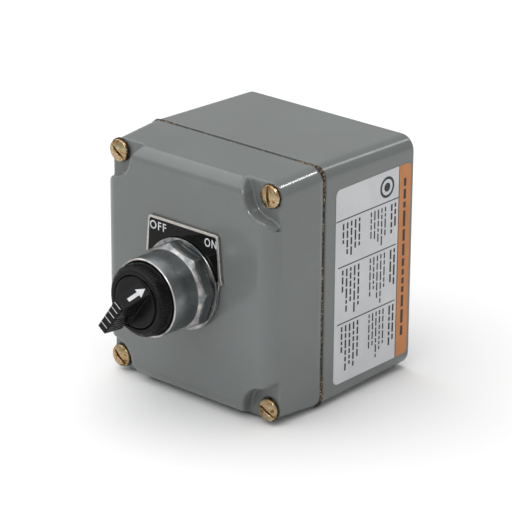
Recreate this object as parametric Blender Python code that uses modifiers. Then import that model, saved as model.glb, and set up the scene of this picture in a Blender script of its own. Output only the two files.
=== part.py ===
"""Rotary ON/OFF selector station: a cast box and cover with a 30 mm selector switch through the cover.

Every piece is built in the front panel's own frame, in metres: X to the right, Y up and Z forward, out
of the panel. That frame's origin is the point where the selector's axis leaves the flat front of the
cover. An empty turns and moves it all so that the wall side faces +Y and the origin is on the wall.
"""

import math

import bmesh
import bpy
from mathutils import Matrix, Vector

MM = 0.001
GAP = 0.3 * MM  # air left between pieces that rest on each other
EDGE = 0.3 * MM  # chamfer of a turned or machined edge

# Enclosure: half sizes are (across, up), and depths run back from the flat front of the cover
SEAM_HALF = (54.0 * MM, 59.6 * MM)
COVER_FRONT_HALF = (51.9 * MM, 57.4 * MM)
BACK_HALF = (53.4 * MM, 58.2 * MM)
COVER_DEPTH = 33.5 * MM
GASKET_SPACE = 2.0 * MM
GASKET_SETBACK = 0.1 * MM
GASKET_CORNER = 5.5 * MM
TOTAL_DEPTH = 100.5 * MM
BOX_FRONT = COVER_DEPTH + GASKET_SPACE
CORNER_RADIUS = 7.5 * MM
FRONT_ROUND = 7.5 * MM
BACK_ROUND = 2.0 * MM
WALL = 4.5 * MM
CAVITY_HALF = (48.0 * MM, 53.5 * MM)

# Cover screws, in an open pocket at each corner
SCREW_CENTRE = (46.7 * MM, 51.9 * MM)
POCKET_RADIUS = 11.3 * MM
POCKET_DEPTH = 6.9 * MM
POCKET_WALL = 3.2 * MM
POCKET_FLARE = 0.5  # how far the walls lean apart past the screw, per distance outwards
COVER_BOSS_RADIUS = 8.5 * MM
BOX_BOSS_RADIUS = 10.0 * MM
SCREW_SHANK = 2.4 * MM
SCREW_HOLE = 2.8 * MM
SCREW_HEAD = 5.4 * MM
SCREW_HEAD_HEIGHT = 2.4 * MM
SCREW_CROWN = 1.3 * MM
SCREW_SLOT_DEPTH = 1.8 * MM
SCREW_SLOT_HALF = 0.7 * MM
SCREW_REACH = 52.0 * MM
WASHER_HEIGHT = 0.6 * MM
WASHER_RADIUS = 5.9 * MM
WASHER_TEETH = 14
WASHER_NOTCH = 0.8 * MM
CORNERS = {
    "upper_right": (1, 1, 96.0),
    "upper_left": (-1, 1, -38.0),
    "lower_left": (-1, -1, -42.0),
    "lower_right": (1, -1, -28.0),
}

# Openings and fixings of the box
ENTRY_RADIUS = 13.4 * MM
ENTRY_DEPTH = 68.5 * MM
MOUNT_CENTRE = (44.0 * MM, 49.0 * MM)
MOUNT_RADIUS = 2.6 * MM
MOUNT_HOLE_DEPTH = 12.0 * MM
GROUND_PLACE = (-32.0 * MM, -36.0 * MM)
GROUND_SHANK = 2.0 * MM
GROUND_HEAD = 4.2 * MM
GROUND_REACH = 2.8 * MM

# Small slotted screws inside
SMALL_HEAD_HEIGHT = 2.2 * MM
SMALL_SLOT_DEPTH = 1.0 * MM
SMALL_SLOT_HALF = 0.4 * MM

# Side label: depths behind the front, then heights
LABEL_DEPTHS = (42.5 * MM, 97.3 * MM)
LABEL_HEIGHTS = (-50.3 * MM, 46.4 * MM)
LABEL_CORNER = 3.0 * MM
LABEL_THICKNESS = 0.2 * MM

# Selector: heights along its axis, forward of the panel or, below zero, behind it
PANEL_HOLE = 15.4 * MM
BARREL_RADIUS = 15.0 * MM
LEGEND_TOP_HALF = 21.75 * MM
LEGEND_FLARE_HALF = 23.6 * MM
LEGEND_TOP = 28.8 * MM
LEGEND_CORNER = 1.6 * MM
LEGEND_SHOULDER = 6.0 * MM
LEGEND_ROUND = 21.6 * MM
LEGEND_THICKNESS = 1.5 * MM
THRUST_WASHER_RADIUS = 22.1 * MM
THRUST_WASHER_THICKNESS = 1.1 * MM
NUT_SIDES = 8
NUT_ACROSS_FLATS = 39.9 * MM
NUT_TURN = 5.0
NUT_FRONT = 11.6 * MM
NUT_CORNER_FRONT = 8.7 * MM
CUP_FLOOR = 13.2 * MM
RING_RADIUS = 18.85 * MM
RING_FRONT = 26.9 * MM
RING_CUP = 17.75 * MM
BEZEL_RADIUS = 17.15 * MM
BEZEL_FRONT = 33.3 * MM
BEZEL_BORE = 12.75 * MM
BEZEL_CHAMFER = 1.9 * MM
KNOB_RADIUS = 12.4 * MM
KNOB_FRONT = 33.6 * MM
DISC_BACK = 24.0 * MM
HUB_RADIUS = 8.5 * MM
HUB_BACK = 15.2 * MM
HUB_BORE_END = 29.3 * MM
SHAFT_RADIUS = 5.9 * MM
SHAFT_TIP = 4.0 * MM
SHAFT_FRONT = 29.0 * MM
SHAFT_SHOULDER = 14.6 * MM
CLIP_GROOVE_RADIUS = 4.9 * MM
CLIP_RADIUS = 8.6 * MM
SHAFT_BORE = 6.3 * MM
BARREL_FRONT = CUP_FLOOR - 0.2 * MM
SEAL_SEAT = 9.8 * MM
SEAL_SEAT_RADIUS = 8.5 * MM
SEAL_WIRE = 1.0 * MM
FLANGE_RADIUS = 21.0 * MM
FLANGE_FRONT = -6.6 * MM
FLANGE_BACK = -10.5 * MM
PANEL_GASKET_RADIUS = 20.5 * MM
BODY_RADIUS = 19.2 * MM
BODY_BACK = -26.0 * MM
BODY_TAP_END = -16.0 * MM
CHAMBER_RADIUS = 13.6 * MM
CHAMBER_FRONT = -12.0 * MM
CLIP_FRONT = CHAMBER_FRONT - 0.5 * MM
CLIP_BACK = CLIP_FRONT - 0.6 * MM

# Lever of the knob, along its own direction (the arrow points to +Y) and forward
LEVER_ANGLE = math.radians(-36.0)
KNOB_THROW = math.radians(72.0)
RAMP_FOOT = (11.1 * MM, KNOB_FRONT)
RAMP_TOP = (3.8 * MM, 46.0 * MM)
TAIL_TOP = (-14.5 * MM, 46.8 * MM)
TAIL_BOTTOM = (-16.4 * MM, 34.4 * MM)
LEVER_FOOT_HALF = 3.9 * MM
LEVER_TOP_HALF = 3.1 * MM
LEVER_TAIL_HALF = 2.55 * MM
LEVER_ROOT = 1.5 * MM
LEVER_INSET = 1.2 * MM
GROOVE_PLACES = [place * MM for place in (2.8, -0.3, -3.6, -7.2, -11.0)]
GROOVE_HALF = 0.25 * MM
GROOVE_DEPTH = 0.35 * MM
ARROW_TIP = 0.6 * MM
ARROW_BARB = 4.5 * MM
ARROW_TAIL = 10.0 * MM
ARROW_HEAD_HALF = 2.45 * MM
ARROW_SHAFT_HALF = 0.9 * MM
ARROW_THICKNESS = 0.25 * MM

# Cam and contact mechanism
CAM_TRAVEL = 3.0 * MM
CAM_FRONT = -14.6 * MM
CAM_VALLEY = -17.5 * MM
CAM_RADIUS = 13.0 * MM
ROD_OFFSET = 8.7 * MM
ROD_RADIUS = 2.4 * MM
ROD_TIP_RADIUS = 0.8 * MM
ROD_TIP = CAM_VALLEY - CAM_TRAVEL - 0.4 * MM
ROD_END = -33.0 * MM
GUIDE_FRONT = BODY_BACK - GAP
GUIDE_BACK = GUIDE_FRONT - 2.6 * MM
BLOCK_HALF = (18.0 * MM, 19.5 * MM)
BLOCK_FRONT = GUIDE_BACK - GAP
BLOCK_CORNER = 2.0 * MM
BLOCK_BACK = -63.0 * MM
SHELF_HALF = (17.5 * MM, 28.0 * MM)
SHELF_FRONT = -47.0 * MM
SHELF_BACK = -62.0 * MM
CHAMBER_HALF = (5.2 * MM, 11.5 * MM)
CHAMBER_BACK = -60.0 * MM
STRIP_HALF_WIDTH = 3.0 * MM
STRIP_THICKNESS = 1.0 * MM
STRIP_FRONT = SHELF_FRONT + GAP + STRIP_THICKNESS
STRIP_INNER = 4.6 * MM
STRIP_OUTER = 27.5 * MM
CARRIER_HALF = (4.0 * MM, 3.9 * MM)
CARRIER_BACK = -53.5 * MM
BRIDGE_HALF = (2.7 * MM, 9.5 * MM)
TERMINAL_HEIGHT = 23.5 * MM
TERMINAL_HEAD = 3.2 * MM
TERMINAL_SHANK = 1.6 * MM
TERMINAL_END = SHELF_FRONT - 8.0 * MM
BLOCK_SCREW_HEIGHT = 16.3 * MM
BLOCK_SCREW_SHANK = 1.4 * MM
BLOCK_SCREW_HEAD = 3.0 * MM
BLOCK_SCREW_TIP = -18.0 * MM
SPRING_RADIUS = 2.8 * MM
SPRING_WIRE = 0.35 * MM
SPRING_TURNS = 4

# Colour, roughness and metallic value of each material
FINISHES = {
    "grey_enamel": ((0.19, 0.21, 0.205), 0.35, 0.0),
    "cork_rubber": ((0.10, 0.07, 0.04), 0.9, 0.0),
    "yellow_zinc": ((0.55, 0.45, 0.22), 0.35, 1.0),
    "label_film": ((0.62, 0.63, 0.65), 0.5, 0.0),
    "legend_aluminium": ((0.55, 0.54, 0.52), 0.35, 1.0),
    "chrome": ((0.6, 0.6, 0.6), 0.12, 1.0),
    "black_plastic": ((0.02, 0.02, 0.02), 0.45, 0.0),
    "white_paint": ((0.75, 0.77, 0.8), 0.5, 0.0),
    "zinc_casting": ((0.45, 0.45, 0.45), 0.45, 1.0),
    "steel": ((0.5, 0.5, 0.5), 0.35, 1.0),
    "rubber": ((0.015, 0.015, 0.015), 0.8, 0.0),
    "nylon": ((0.7, 0.68, 0.6), 0.5, 0.0),
    "red_plastic": ((0.45, 0.03, 0.03), 0.5, 0.0),
    "grey_plastic": ((0.2, 0.2, 0.2), 0.5, 0.0),
    "brass": ((0.6, 0.42, 0.15), 0.3, 1.0),
    "copper": ((0.6, 0.28, 0.14), 0.3, 1.0),
    "green_steel": ((0.03, 0.3, 0.08), 0.4, 0.5),
}


# Scene helpers


def new_collection(name):
    """Makes a collection in the scene."""
    collection = bpy.data.collections.new(name)
    bpy.context.scene.collection.children.link(collection)
    return collection


for old in list(bpy.data.objects):
    bpy.data.objects.remove(old, do_unlink=True)

PARTS = new_collection("selector_station")
CUTTERS = new_collection("cutters")

PANEL = bpy.data.objects.new("front_panel_frame", None)
PANEL.location = (0.0, -TOTAL_DEPTH, 0.0)
PANEL.rotation_euler = (math.radians(90.0), 0.0, 0.0)
PARTS.objects.link(PANEL)


def material(name):
    """The named finish as a Principled material, made once."""
    found = bpy.data.materials.get(name)
    if found:
        return found
    colour, roughness, metallic = FINISHES[name]
    made = bpy.data.materials.new(name)
    made.use_nodes = True
    shader = made.node_tree.nodes["Principled BSDF"]
    shader.inputs["Base Color"].default_value = (*colour, 1.0)
    shader.inputs["Roughness"].default_value = roughness
    shader.inputs["Metallic"].default_value = metallic
    return made


def add(name, data, finish=None, location=(0.0, 0.0, 0.0), rotation=(0.0, 0.0, 0.0)):
    """Adds a piece with its finish, or a cutter when it has none, in the front panel's frame."""
    obj = bpy.data.objects.new(name, data)
    obj.parent = PANEL
    obj.location = location
    obj.rotation_euler = rotation
    if finish:
        data.materials.append(material(finish))
        PARTS.objects.link(obj)
    else:
        CUTTERS.objects.link(obj)
        obj.hide_render = True
        obj.display_type = "WIRE"
    return obj


def combine(target, tool, operation="DIFFERENCE"):
    """Cuts the tool out of the target, or joins or intersects the two."""
    boolean = target.modifiers.new(tool.name, "BOOLEAN")
    boolean.operation = operation
    boolean.object = tool
    boolean.solver = "EXACT"
    return target


# Shape helpers


def arc(centre, radius, start, end, steps):
    """Points along an arc, with its angles in degrees."""
    angles = [math.radians(start + (end - start) * i / steps) for i in range(steps + 1)]
    return [(centre[0] + radius * math.cos(a), centre[1] + radius * math.sin(a)) for a in angles]


def circle(centre, radius, steps=24):
    """Points round a whole circle."""
    return arc(centre, radius, 0.0, 360.0, steps)[:-1]


def four_corners(corner):
    """Repeats the upper right corner's points, given counterclockwise, at all four corners."""
    points = []
    for side, level in ((1, 1), (-1, 1), (-1, -1), (1, -1)):
        run = [(side * x, level * y) for x, y in corner]
        points += run if side * level > 0 else run[::-1]
    return points


def rounded_rectangle(half, radius, steps=5):
    """Outline of a rectangle with round corners."""
    centre = (half[0] - radius, half[1] - radius)
    return four_corners(arc(centre, radius, 0.0, 90.0, steps))


def notched_rectangle(half, centre, radius, steps=8):
    """Rectangle that stays clear of a round boss in each corner."""
    over_x = half[0] - centre[0]
    over_y = half[1] - centre[1]
    start = math.degrees(math.atan2(-math.sqrt(radius**2 - over_x**2), over_x)) + 360.0
    end = math.degrees(math.atan2(over_y, -math.sqrt(radius**2 - over_y**2)))
    return four_corners(arc(centre, radius, start, end, steps))


def plate(name, outlines, low, high, finish=None):
    """Flat piece between two heights; the first outline is its edge and the others are holes."""
    curve = bpy.data.curves.new(name, "CURVE")
    curve.dimensions = "2D"
    curve.fill_mode = "BOTH"
    curve.extrude = (high - low) / 2
    for outline in outlines:
        spline = curve.splines.new("POLY")
        spline.points.add(len(outline) - 1)
        for point, (x, y) in zip(spline.points, outline):
            point.co = (x, y, 0.0, 1.0)
        spline.use_cyclic_u = True
    flat = bpy.data.objects.new(name, curve)
    flat.location.z = (low + high) / 2
    PARTS.objects.link(flat)
    bpy.context.view_layer.update()
    mesh = bpy.data.meshes.new_from_object(flat.evaluated_get(bpy.context.evaluated_depsgraph_get()))
    mesh.transform(flat.matrix_world)
    bpy.data.objects.remove(flat)
    shape = bmesh.new()
    shape.from_mesh(mesh)
    bmesh.ops.remove_doubles(shape, verts=shape.verts, dist=GAP / 100)
    bmesh.ops.recalc_face_normals(shape, faces=shape.faces)
    shape.to_mesh(mesh)
    shape.free()
    return add(name, mesh, finish)


def turned(name, profile, finish=None, steps=40, centre=(0.0, 0.0)):
    """Turns a profile of (radius, height) about the forward axis; it runs down the outer side.

    A profile that starts and ends on the axis makes a solid, and any other is closed into a ring.
    """
    ring = profile[0][0] > 0.0
    count = len(profile)
    mesh = bpy.data.meshes.new(name)
    edges = [(i, (i + 1) % count) for i in range(count if ring else count - 1)]
    mesh.from_pydata([(radius, 0.0, height) for radius, height in profile], edges, [])
    obj = add(name, mesh, finish, location=(*centre, 0.0))
    screw = obj.modifiers.new("Turn", "SCREW")
    screw.steps = steps
    screw.render_steps = steps
    screw.use_merge_vertices = True
    screw.merge_threshold = GAP / 100
    return obj


def cylinder(name, centre, radius, low, high, finish=None, steps=24):
    """Round bar along the forward axis."""
    profile = [(0.0, high), (radius, high), (radius, low), (0.0, low)]
    return turned(name, profile, finish, steps, centre)


def block(name, centre, half, low, high, finish=None):
    """Square block between two heights, with its half sizes across and up."""
    shape = bmesh.new()
    bmesh.ops.create_cube(shape, size=2.0)
    for vertex in shape.verts:
        height = high if vertex.co.z > 0 else low
        vertex.co = (centre[0] + vertex.co.x * half[0], centre[1] + vertex.co.y * half[1], height)
    mesh = bpy.data.meshes.new(name)
    shape.to_mesh(mesh)
    shape.free()
    return add(name, mesh, finish)


def drafted_block(name, front, front_half, back, back_half, rounds, finish, segments=5):
    """Rounded block that tapers from one end to the other; rounds are for its sides, front and back."""
    side_round, front_round, back_round = rounds
    shape = bmesh.new()
    bmesh.ops.create_cube(shape, size=2.0)
    weights = shape.edges.layers.float.new("bevel_weight_edge")
    for edge in shape.edges:
        levels = sum(vertex.co.z for vertex in edge.verts)
        radius = side_round if abs(levels) < 1 else front_round if levels > 0 else back_round
        edge[weights] = radius / max(rounds)
    for vertex in shape.verts:
        half = front_half if vertex.co.z > 0 else back_half
        height = front if vertex.co.z > 0 else back
        vertex.co = (vertex.co.x * half[0], vertex.co.y * half[1], height)
    mesh = bpy.data.meshes.new(name)
    shape.to_mesh(mesh)
    shape.free()
    obj = add(name, mesh, finish)
    bevel = obj.modifiers.new("Rounds", "BEVEL")
    bevel.limit_method = "WEIGHT"
    bevel.width = max(rounds)
    bevel.segments = segments
    return obj


def half_at(depth):
    """Half width of the box at a depth behind the front, along its drafted side."""
    share = (depth - BOX_FRONT) / (TOTAL_DEPTH - BOX_FRONT)
    return SEAM_HALF[0] + (BACK_HALF[0] - SEAM_HALF[0]) * share


# Enclosure


def enclosure_cover():
    """Drafted cover with its screw pockets, bosses, hollow back and the selector's hole."""
    rounds = (CORNER_RADIUS, FRONT_ROUND, 0.0)
    cover = drafted_block(
        "enclosure_cover", 0.0, COVER_FRONT_HALF, -COVER_DEPTH, SEAM_HALF, rounds, "grey_enamel"
    )
    shelf = POCKET_DEPTH + POCKET_WALL
    shallow = notched_rectangle(CAVITY_HALF, SCREW_CENTRE, POCKET_RADIUS + POCKET_WALL)
    deep = notched_rectangle(CAVITY_HALF, SCREW_CENTRE, COVER_BOSS_RADIUS)
    combine(cover, plate("cover_hollow_front", [shallow], -shelf - GAP, -WALL))
    combine(cover, plate("cover_hollow_back", [deep], -COVER_DEPTH - WALL, -shelf))
    combine(cover, cylinder("cover_panel_hole", (0.0, 0.0), PANEL_HOLE, -2 * WALL, WALL, steps=40))
    reach = (SEAM_HALF[0] + WALL, SEAM_HALF[1] + WALL)
    for corner, (side, level, _) in CORNERS.items():
        wall = arc(SCREW_CENTRE, POCKET_RADIUS, 180.0, 270.0, 8)
        upper = (wall[0][0] - POCKET_FLARE * (reach[1] - wall[0][1]), reach[1])
        lower = (reach[0], wall[-1][1] - POCKET_FLARE * (reach[0] - wall[-1][0]))
        outline = [reach, upper, *wall, lower]
        outline = [(side * x, level * y) for x, y in outline]
        combine(cover, plate(f"pocket_{corner}", [outline], -POCKET_DEPTH, WALL))
        centre = (side * SCREW_CENTRE[0], level * SCREW_CENTRE[1])
        combine(cover, cylinder(f"cover_hole_{corner}", centre, SCREW_HOLE, -COVER_DEPTH - WALL, 0.0))


def enclosure_box():
    """Drafted box with a boss in each corner, the wiring entry below and the fixing holes."""
    rounds = (CORNER_RADIUS, 0.0, BACK_ROUND)
    box = drafted_block(
        "enclosure_box", -BOX_FRONT, SEAM_HALF, -TOTAL_DEPTH, BACK_HALF, rounds, "grey_enamel"
    )
    hollow = notched_rectangle(CAVITY_HALF, SCREW_CENTRE, BOX_BOSS_RADIUS)
    combine(box, plate("box_hollow", [hollow], -TOTAL_DEPTH + WALL, -BOX_FRONT + WALL))
    for corner, (side, level, _) in CORNERS.items():
        centre = (side * SCREW_CENTRE[0], level * SCREW_CENTRE[1])
        deep = -SCREW_REACH - 2 * WALL
        combine(box, cylinder(f"box_hole_{corner}", centre, SCREW_HOLE, deep, -BOX_FRONT + WALL))
        centre = (side * MOUNT_CENTRE[0], level * MOUNT_CENTRE[1])
        top = -TOTAL_DEPTH + MOUNT_HOLE_DEPTH
        combine(box, cylinder(f"mount_hole_{corner}", centre, MOUNT_RADIUS, -TOTAL_DEPTH - WALL, top))
    drill = cylinder("box_entry", (0.0, 0.0), ENTRY_RADIUS, -WALL * 2, WALL * 2, steps=32)
    drill.location = (0.0, -SEAM_HALF[1] + WALL / 2, -ENTRY_DEPTH)
    drill.rotation_euler = (math.radians(90.0), 0.0, 0.0)
    combine(box, drill)
    floor = -TOTAL_DEPTH + WALL
    radius = GROUND_SHANK + GAP
    combine(box, cylinder("ground_hole", GROUND_PLACE, radius, floor - GROUND_REACH - GAP, floor + WALL))


def cover_gasket():
    """Flat gasket between the box and the cover; its corners stand out past the rounder castings."""
    outer = rounded_rectangle([half - GASKET_SETBACK for half in SEAM_HALF], GASKET_CORNER)
    inner = notched_rectangle(CAVITY_HALF, SCREW_CENTRE, COVER_BOSS_RADIUS)
    holes = [
        circle((side * SCREW_CENTRE[0], level * SCREW_CENTRE[1]), SCREW_HOLE)
        for side, level, _ in CORNERS.values()
    ]
    plate("cover_gasket", [outer, inner, *holes], -BOX_FRONT + GAP, -COVER_DEPTH - GAP, "cork_rubber")


def cover_screws():
    """Slotted screw and toothed lock washer in each corner pocket."""
    washer_low = -POCKET_DEPTH + GAP
    head_low = washer_low + WASHER_HEIGHT + GAP
    head_top = head_low + SCREW_HEAD_HEIGHT
    profile = [
        (0.0, head_top),
        (SCREW_HEAD / 2, head_top - SCREW_CROWN / 4),
        (SCREW_HEAD - EDGE, head_top - SCREW_CROWN),
        (SCREW_HEAD, head_top - SCREW_CROWN - EDGE),
        (SCREW_HEAD, head_low),
        (SCREW_SHANK, head_low),
        (SCREW_SHANK, -SCREW_REACH),
        (0.0, -SCREW_REACH),
    ]
    for corner, (side, level, slot_angle) in CORNERS.items():
        centre = (side * SCREW_CENTRE[0], level * SCREW_CENTRE[1])
        screw = turned(f"cover_screw_{corner}", profile, "yellow_zinc", 24, centre)
        slot_half = (SCREW_HEAD + WALL, SCREW_SLOT_HALF)
        slot_low = head_top - SCREW_SLOT_DEPTH
        slot = block(f"slot_{corner}", (0.0, 0.0), slot_half, slot_low, head_top + WALL)
        slot.location = (*centre, 0.0)
        slot.rotation_euler = (0.0, 0.0, math.radians(slot_angle))
        combine(screw, slot)
        teeth = []
        for index in range(2 * WASHER_TEETH):
            radius = WASHER_RADIUS if index % 2 else WASHER_RADIUS - WASHER_NOTCH
            angle = math.pi * (index + 0.5) / WASHER_TEETH
            teeth.append((centre[0] + radius * math.cos(angle), centre[1] + radius * math.sin(angle)))
        hole = circle(centre, SCREW_HOLE, 16)
        top = washer_low + WASHER_HEIGHT
        plate(f"lock_washer_{corner}", [teeth, hole], washer_low, top, "steel")


def side_label():
    """Adhesive label, parallel to the box's drafted right side."""
    length = LABEL_DEPTHS[1] - LABEL_DEPTHS[0]
    height = LABEL_HEIGHTS[1] - LABEL_HEIGHTS[0]
    outline = rounded_rectangle((length / 2, height / 2), LABEL_CORNER)
    label = plate("side_label", [outline], 0.0, LABEL_THICKNESS, "label_film")
    middle = sum(LABEL_DEPTHS) / 2
    draft = math.atan((SEAM_HALF[0] - BACK_HALF[0]) / (TOTAL_DEPTH - BOX_FRONT))
    label.location = (half_at(middle) + GAP, sum(LABEL_HEIGHTS) / 2, -middle)
    label.rotation_euler = (0.0, math.radians(90.0) + draft, 0.0)


def ground_screw():
    """Green screw on the inside of the back wall, for the earth wire."""
    floor = -TOTAL_DEPTH + WALL
    top = floor + GAP + SMALL_HEAD_HEIGHT
    profile = [
        (0.0, top),
        (GROUND_HEAD, top),
        (GROUND_HEAD, floor + GAP),
        (GROUND_SHANK, floor + GAP),
        (GROUND_SHANK, floor - GROUND_REACH),
        (0.0, floor - GROUND_REACH),
    ]
    screw = turned("ground_screw", profile, "green_steel", 20, GROUND_PLACE)
    slot_half = (GROUND_HEAD + WALL, SMALL_SLOT_HALF)
    combine(screw, block("ground_slot", GROUND_PLACE, slot_half, top - SMALL_SLOT_DEPTH, top + WALL))


# Selector, from the panel outwards


def legend_plate():
    """Thin plate with a square, slightly flared top and a round lower part, held by the ring nut."""
    corner = (LEGEND_TOP_HALF - LEGEND_CORNER, LEGEND_TOP - LEGEND_CORNER)
    outline = [
        *arc(corner, LEGEND_CORNER, 0.0, 90.0, 4),
        *arc((-corner[0], corner[1]), LEGEND_CORNER, 90.0, 180.0, 4),
        (-LEGEND_FLARE_HALF, LEGEND_SHOULDER),
        *arc((0.0, 0.0), LEGEND_ROUND, 180.0, 360.0, 24),
        (LEGEND_FLARE_HALF, LEGEND_SHOULDER),
    ]
    low = GAP
    outlines = [outline, circle((0.0, 0.0), PANEL_HOLE, 40)]
    plate("legend_plate", outlines, low, low + LEGEND_THICKNESS, "legend_aluminium")


def thrust_washer():
    """Plain round washer between the legend plate and the ring nut."""
    low = LEGEND_THICKNESS + 2 * GAP
    high = low + THRUST_WASHER_THICKNESS
    profile = [
        (PANEL_HOLE, high),
        (THRUST_WASHER_RADIUS - EDGE, high),
        (THRUST_WASHER_RADIUS, high - EDGE),
        (THRUST_WASHER_RADIUS, low),
        (PANEL_HOLE, low),
    ]
    turned("thrust_washer", profile, "chrome", 48)


def ring_nut():
    """Chromed eight-sided nut whose long round collar shrouds the bezel."""
    low = LEGEND_THICKNESS + THRUST_WASHER_THICKNESS + 3 * GAP
    bore = BARREL_RADIUS + GAP
    collar = [
        (RING_CUP, RING_FRONT),
        (RING_RADIUS - EDGE, RING_FRONT),
        (RING_RADIUS, RING_FRONT - EDGE),
        (RING_RADIUS, low + EDGE),
        (bore, low + EDGE),
        (bore, CUP_FLOOR),
        (RING_CUP, CUP_FLOOR),
    ]
    nut = turned("ring_nut", collar, "chrome", 48)
    corner = NUT_ACROSS_FLATS / 2 / math.cos(math.pi / NUT_SIDES)
    outline = arc((0.0, 0.0), corner, NUT_TURN, NUT_TURN + 360.0, NUT_SIDES)[:-1]
    inside = circle((0.0, 0.0), (bore + RING_RADIUS) / 2, 40)
    head = plate("nut_head", [outline, inside], low, NUT_FRONT + MM)
    slope = (NUT_FRONT - NUT_CORNER_FRONT) / (corner - RING_RADIUS)
    chamfer = [
        (0.0, NUT_FRONT + slope * EDGE),
        (RING_RADIUS - EDGE, NUT_FRONT + slope * EDGE),
        (corner + MM, NUT_CORNER_FRONT - slope * MM),
        (corner + MM, 0.0),
        (0.0, 0.0),
    ]
    combine(head, turned("nut_chamfer", chamfer, steps=60), "INTERSECT")
    combine(nut, head, "UNION")


def selector_bezel():
    """Black ring round the knob: a flat front annulus and a ribbed conical edge."""
    back = CUP_FLOOR + GAP
    profile = [
        (BEZEL_BORE, BEZEL_FRONT),
        (BEZEL_RADIUS - BEZEL_CHAMFER, BEZEL_FRONT),
        (BEZEL_RADIUS, BEZEL_FRONT - BEZEL_CHAMFER),
        (BEZEL_RADIUS, back),
        (BEZEL_BORE, back),
    ]
    turned("selector_bezel", profile, "black_plastic", 48)


def lever_half_width(along, forward):
    """The lever narrows from its foot to its top, and along the top towards the tail."""
    if forward < (KNOB_FRONT + RAMP_TOP[1]) / 2 and along > TAIL_TOP[0]:
        return LEVER_FOOT_HALF
    share = (RAMP_TOP[0] - along) / (RAMP_TOP[0] - TAIL_TOP[0])
    return LEVER_TOP_HALF + (LEVER_TAIL_HALF - LEVER_TOP_HALF) * min(max(share, 0.0), 1.0)


def lever():
    """Raised handle on the knob: a ramp at the arrow's end, a long flat top and an overhanging tail."""
    slope = (RAMP_TOP[1] - RAMP_FOOT[1]) / (RAMP_TOP[0] - RAMP_FOOT[0])
    under = KNOB_RADIUS - LEVER_INSET
    outline = [
        (RAMP_FOOT[0] - LEVER_ROOT / slope, RAMP_FOOT[1] - LEVER_ROOT),
        RAMP_TOP,
        TAIL_TOP,
        TAIL_BOTTOM,
        (-under, TAIL_BOTTOM[1]),
        (-under + LEVER_ROOT, KNOB_FRONT - 2 * LEVER_ROOT),
        (under - LEVER_ROOT, KNOB_FRONT - 2 * LEVER_ROOT),
    ]
    handle = plate("lever_tool", [outline], -LEVER_FOOT_HALF, LEVER_FOOT_HALF)
    for vertex in handle.data.vertices:
        along, forward, across = vertex.co
        half = lever_half_width(along, forward)
        vertex.co = (math.copysign(half, across), along, forward)
    handle.rotation_euler = (0.0, 0.0, LEVER_ANGLE)
    return handle


def selector_knob():
    """Knob: a disc with its lever, and a hub behind that takes the shaft's tip."""
    profile = [
        (0.0, KNOB_FRONT),
        (KNOB_RADIUS - EDGE, KNOB_FRONT),
        (KNOB_RADIUS, KNOB_FRONT - EDGE),
        (KNOB_RADIUS, DISC_BACK),
        (HUB_RADIUS, DISC_BACK),
        (HUB_RADIUS, HUB_BACK),
        (SHAFT_TIP + GAP, HUB_BACK),
        (SHAFT_TIP + GAP, HUB_BORE_END),
        (0.0, HUB_BORE_END),
    ]
    knob = turned("selector_knob", profile, "black_plastic", 48)
    combine(knob, lever(), "UNION")
    rise = (TAIL_TOP[1] - RAMP_TOP[1]) / (RAMP_TOP[0] - TAIL_TOP[0])
    for index, place in enumerate(GROOVE_PLACES):
        top = RAMP_TOP[1] + rise * (RAMP_TOP[0] - place)
        half = (LEVER_FOOT_HALF + WALL, GROOVE_HALF)
        groove = block(f"grip_groove_{index}", (0.0, place), half, top - GROOVE_DEPTH, top + WALL)
        groove.rotation_euler = (0.0, 0.0, LEVER_ANGLE)
        combine(knob, groove)


def knob_arrow():
    """White arrow laid on the lever's ramp, pointing down it."""
    outline = [
        (0.0, -ARROW_TIP),
        (-ARROW_HEAD_HALF, -ARROW_BARB),
        (-ARROW_SHAFT_HALF, -ARROW_BARB),
        (-ARROW_SHAFT_HALF, -ARROW_TAIL),
        (ARROW_SHAFT_HALF, -ARROW_TAIL),
        (ARROW_SHAFT_HALF, -ARROW_BARB),
        (ARROW_HEAD_HALF, -ARROW_BARB),
    ]
    arrow = plate("knob_arrow", [outline], GAP, GAP + ARROW_THICKNESS, "white_paint")
    slope = math.atan2(RAMP_TOP[1] - RAMP_FOOT[1], RAMP_FOOT[0] - RAMP_TOP[0])
    turn = Matrix.Rotation(LEVER_ANGLE, 4, "Z")
    arrow.location = turn @ Vector((0.0, *RAMP_FOOT))
    arrow.rotation_euler = (turn @ Matrix.Rotation(-slope, 4, "X")).to_euler()


def selector_shaft():
    """Spindle from the knob to the cam, with the groove for its retaining clip."""
    profile = [
        (0.0, SHAFT_FRONT),
        (SHAFT_TIP, SHAFT_FRONT),
        (SHAFT_TIP, SHAFT_SHOULDER),
        (SHAFT_RADIUS, SHAFT_SHOULDER),
        (SHAFT_RADIUS, CLIP_FRONT + GAP),
        (CLIP_GROOVE_RADIUS, CLIP_FRONT + GAP),
        (CLIP_GROOVE_RADIUS, CLIP_BACK - GAP),
        (SHAFT_RADIUS, CLIP_BACK - GAP),
        (SHAFT_RADIUS, CAM_FRONT + GAP),
        (SHAFT_TIP, CAM_FRONT + GAP),
        (SHAFT_TIP, CAM_VALLEY - CAM_TRAVEL),
        (0.0, CAM_VALLEY - CAM_TRAVEL),
    ]
    turned("selector_shaft", profile, "steel", 24)
    inner = CLIP_GROOVE_RADIUS + GAP
    clip = arc((0.0, 0.0), CLIP_RADIUS, -60.0, 240.0, 20) + arc((0.0, 0.0), inner, 240.0, -60.0, 20)
    plate("retaining_clip", [clip], CLIP_BACK, CLIP_FRONT, "steel")


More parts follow.
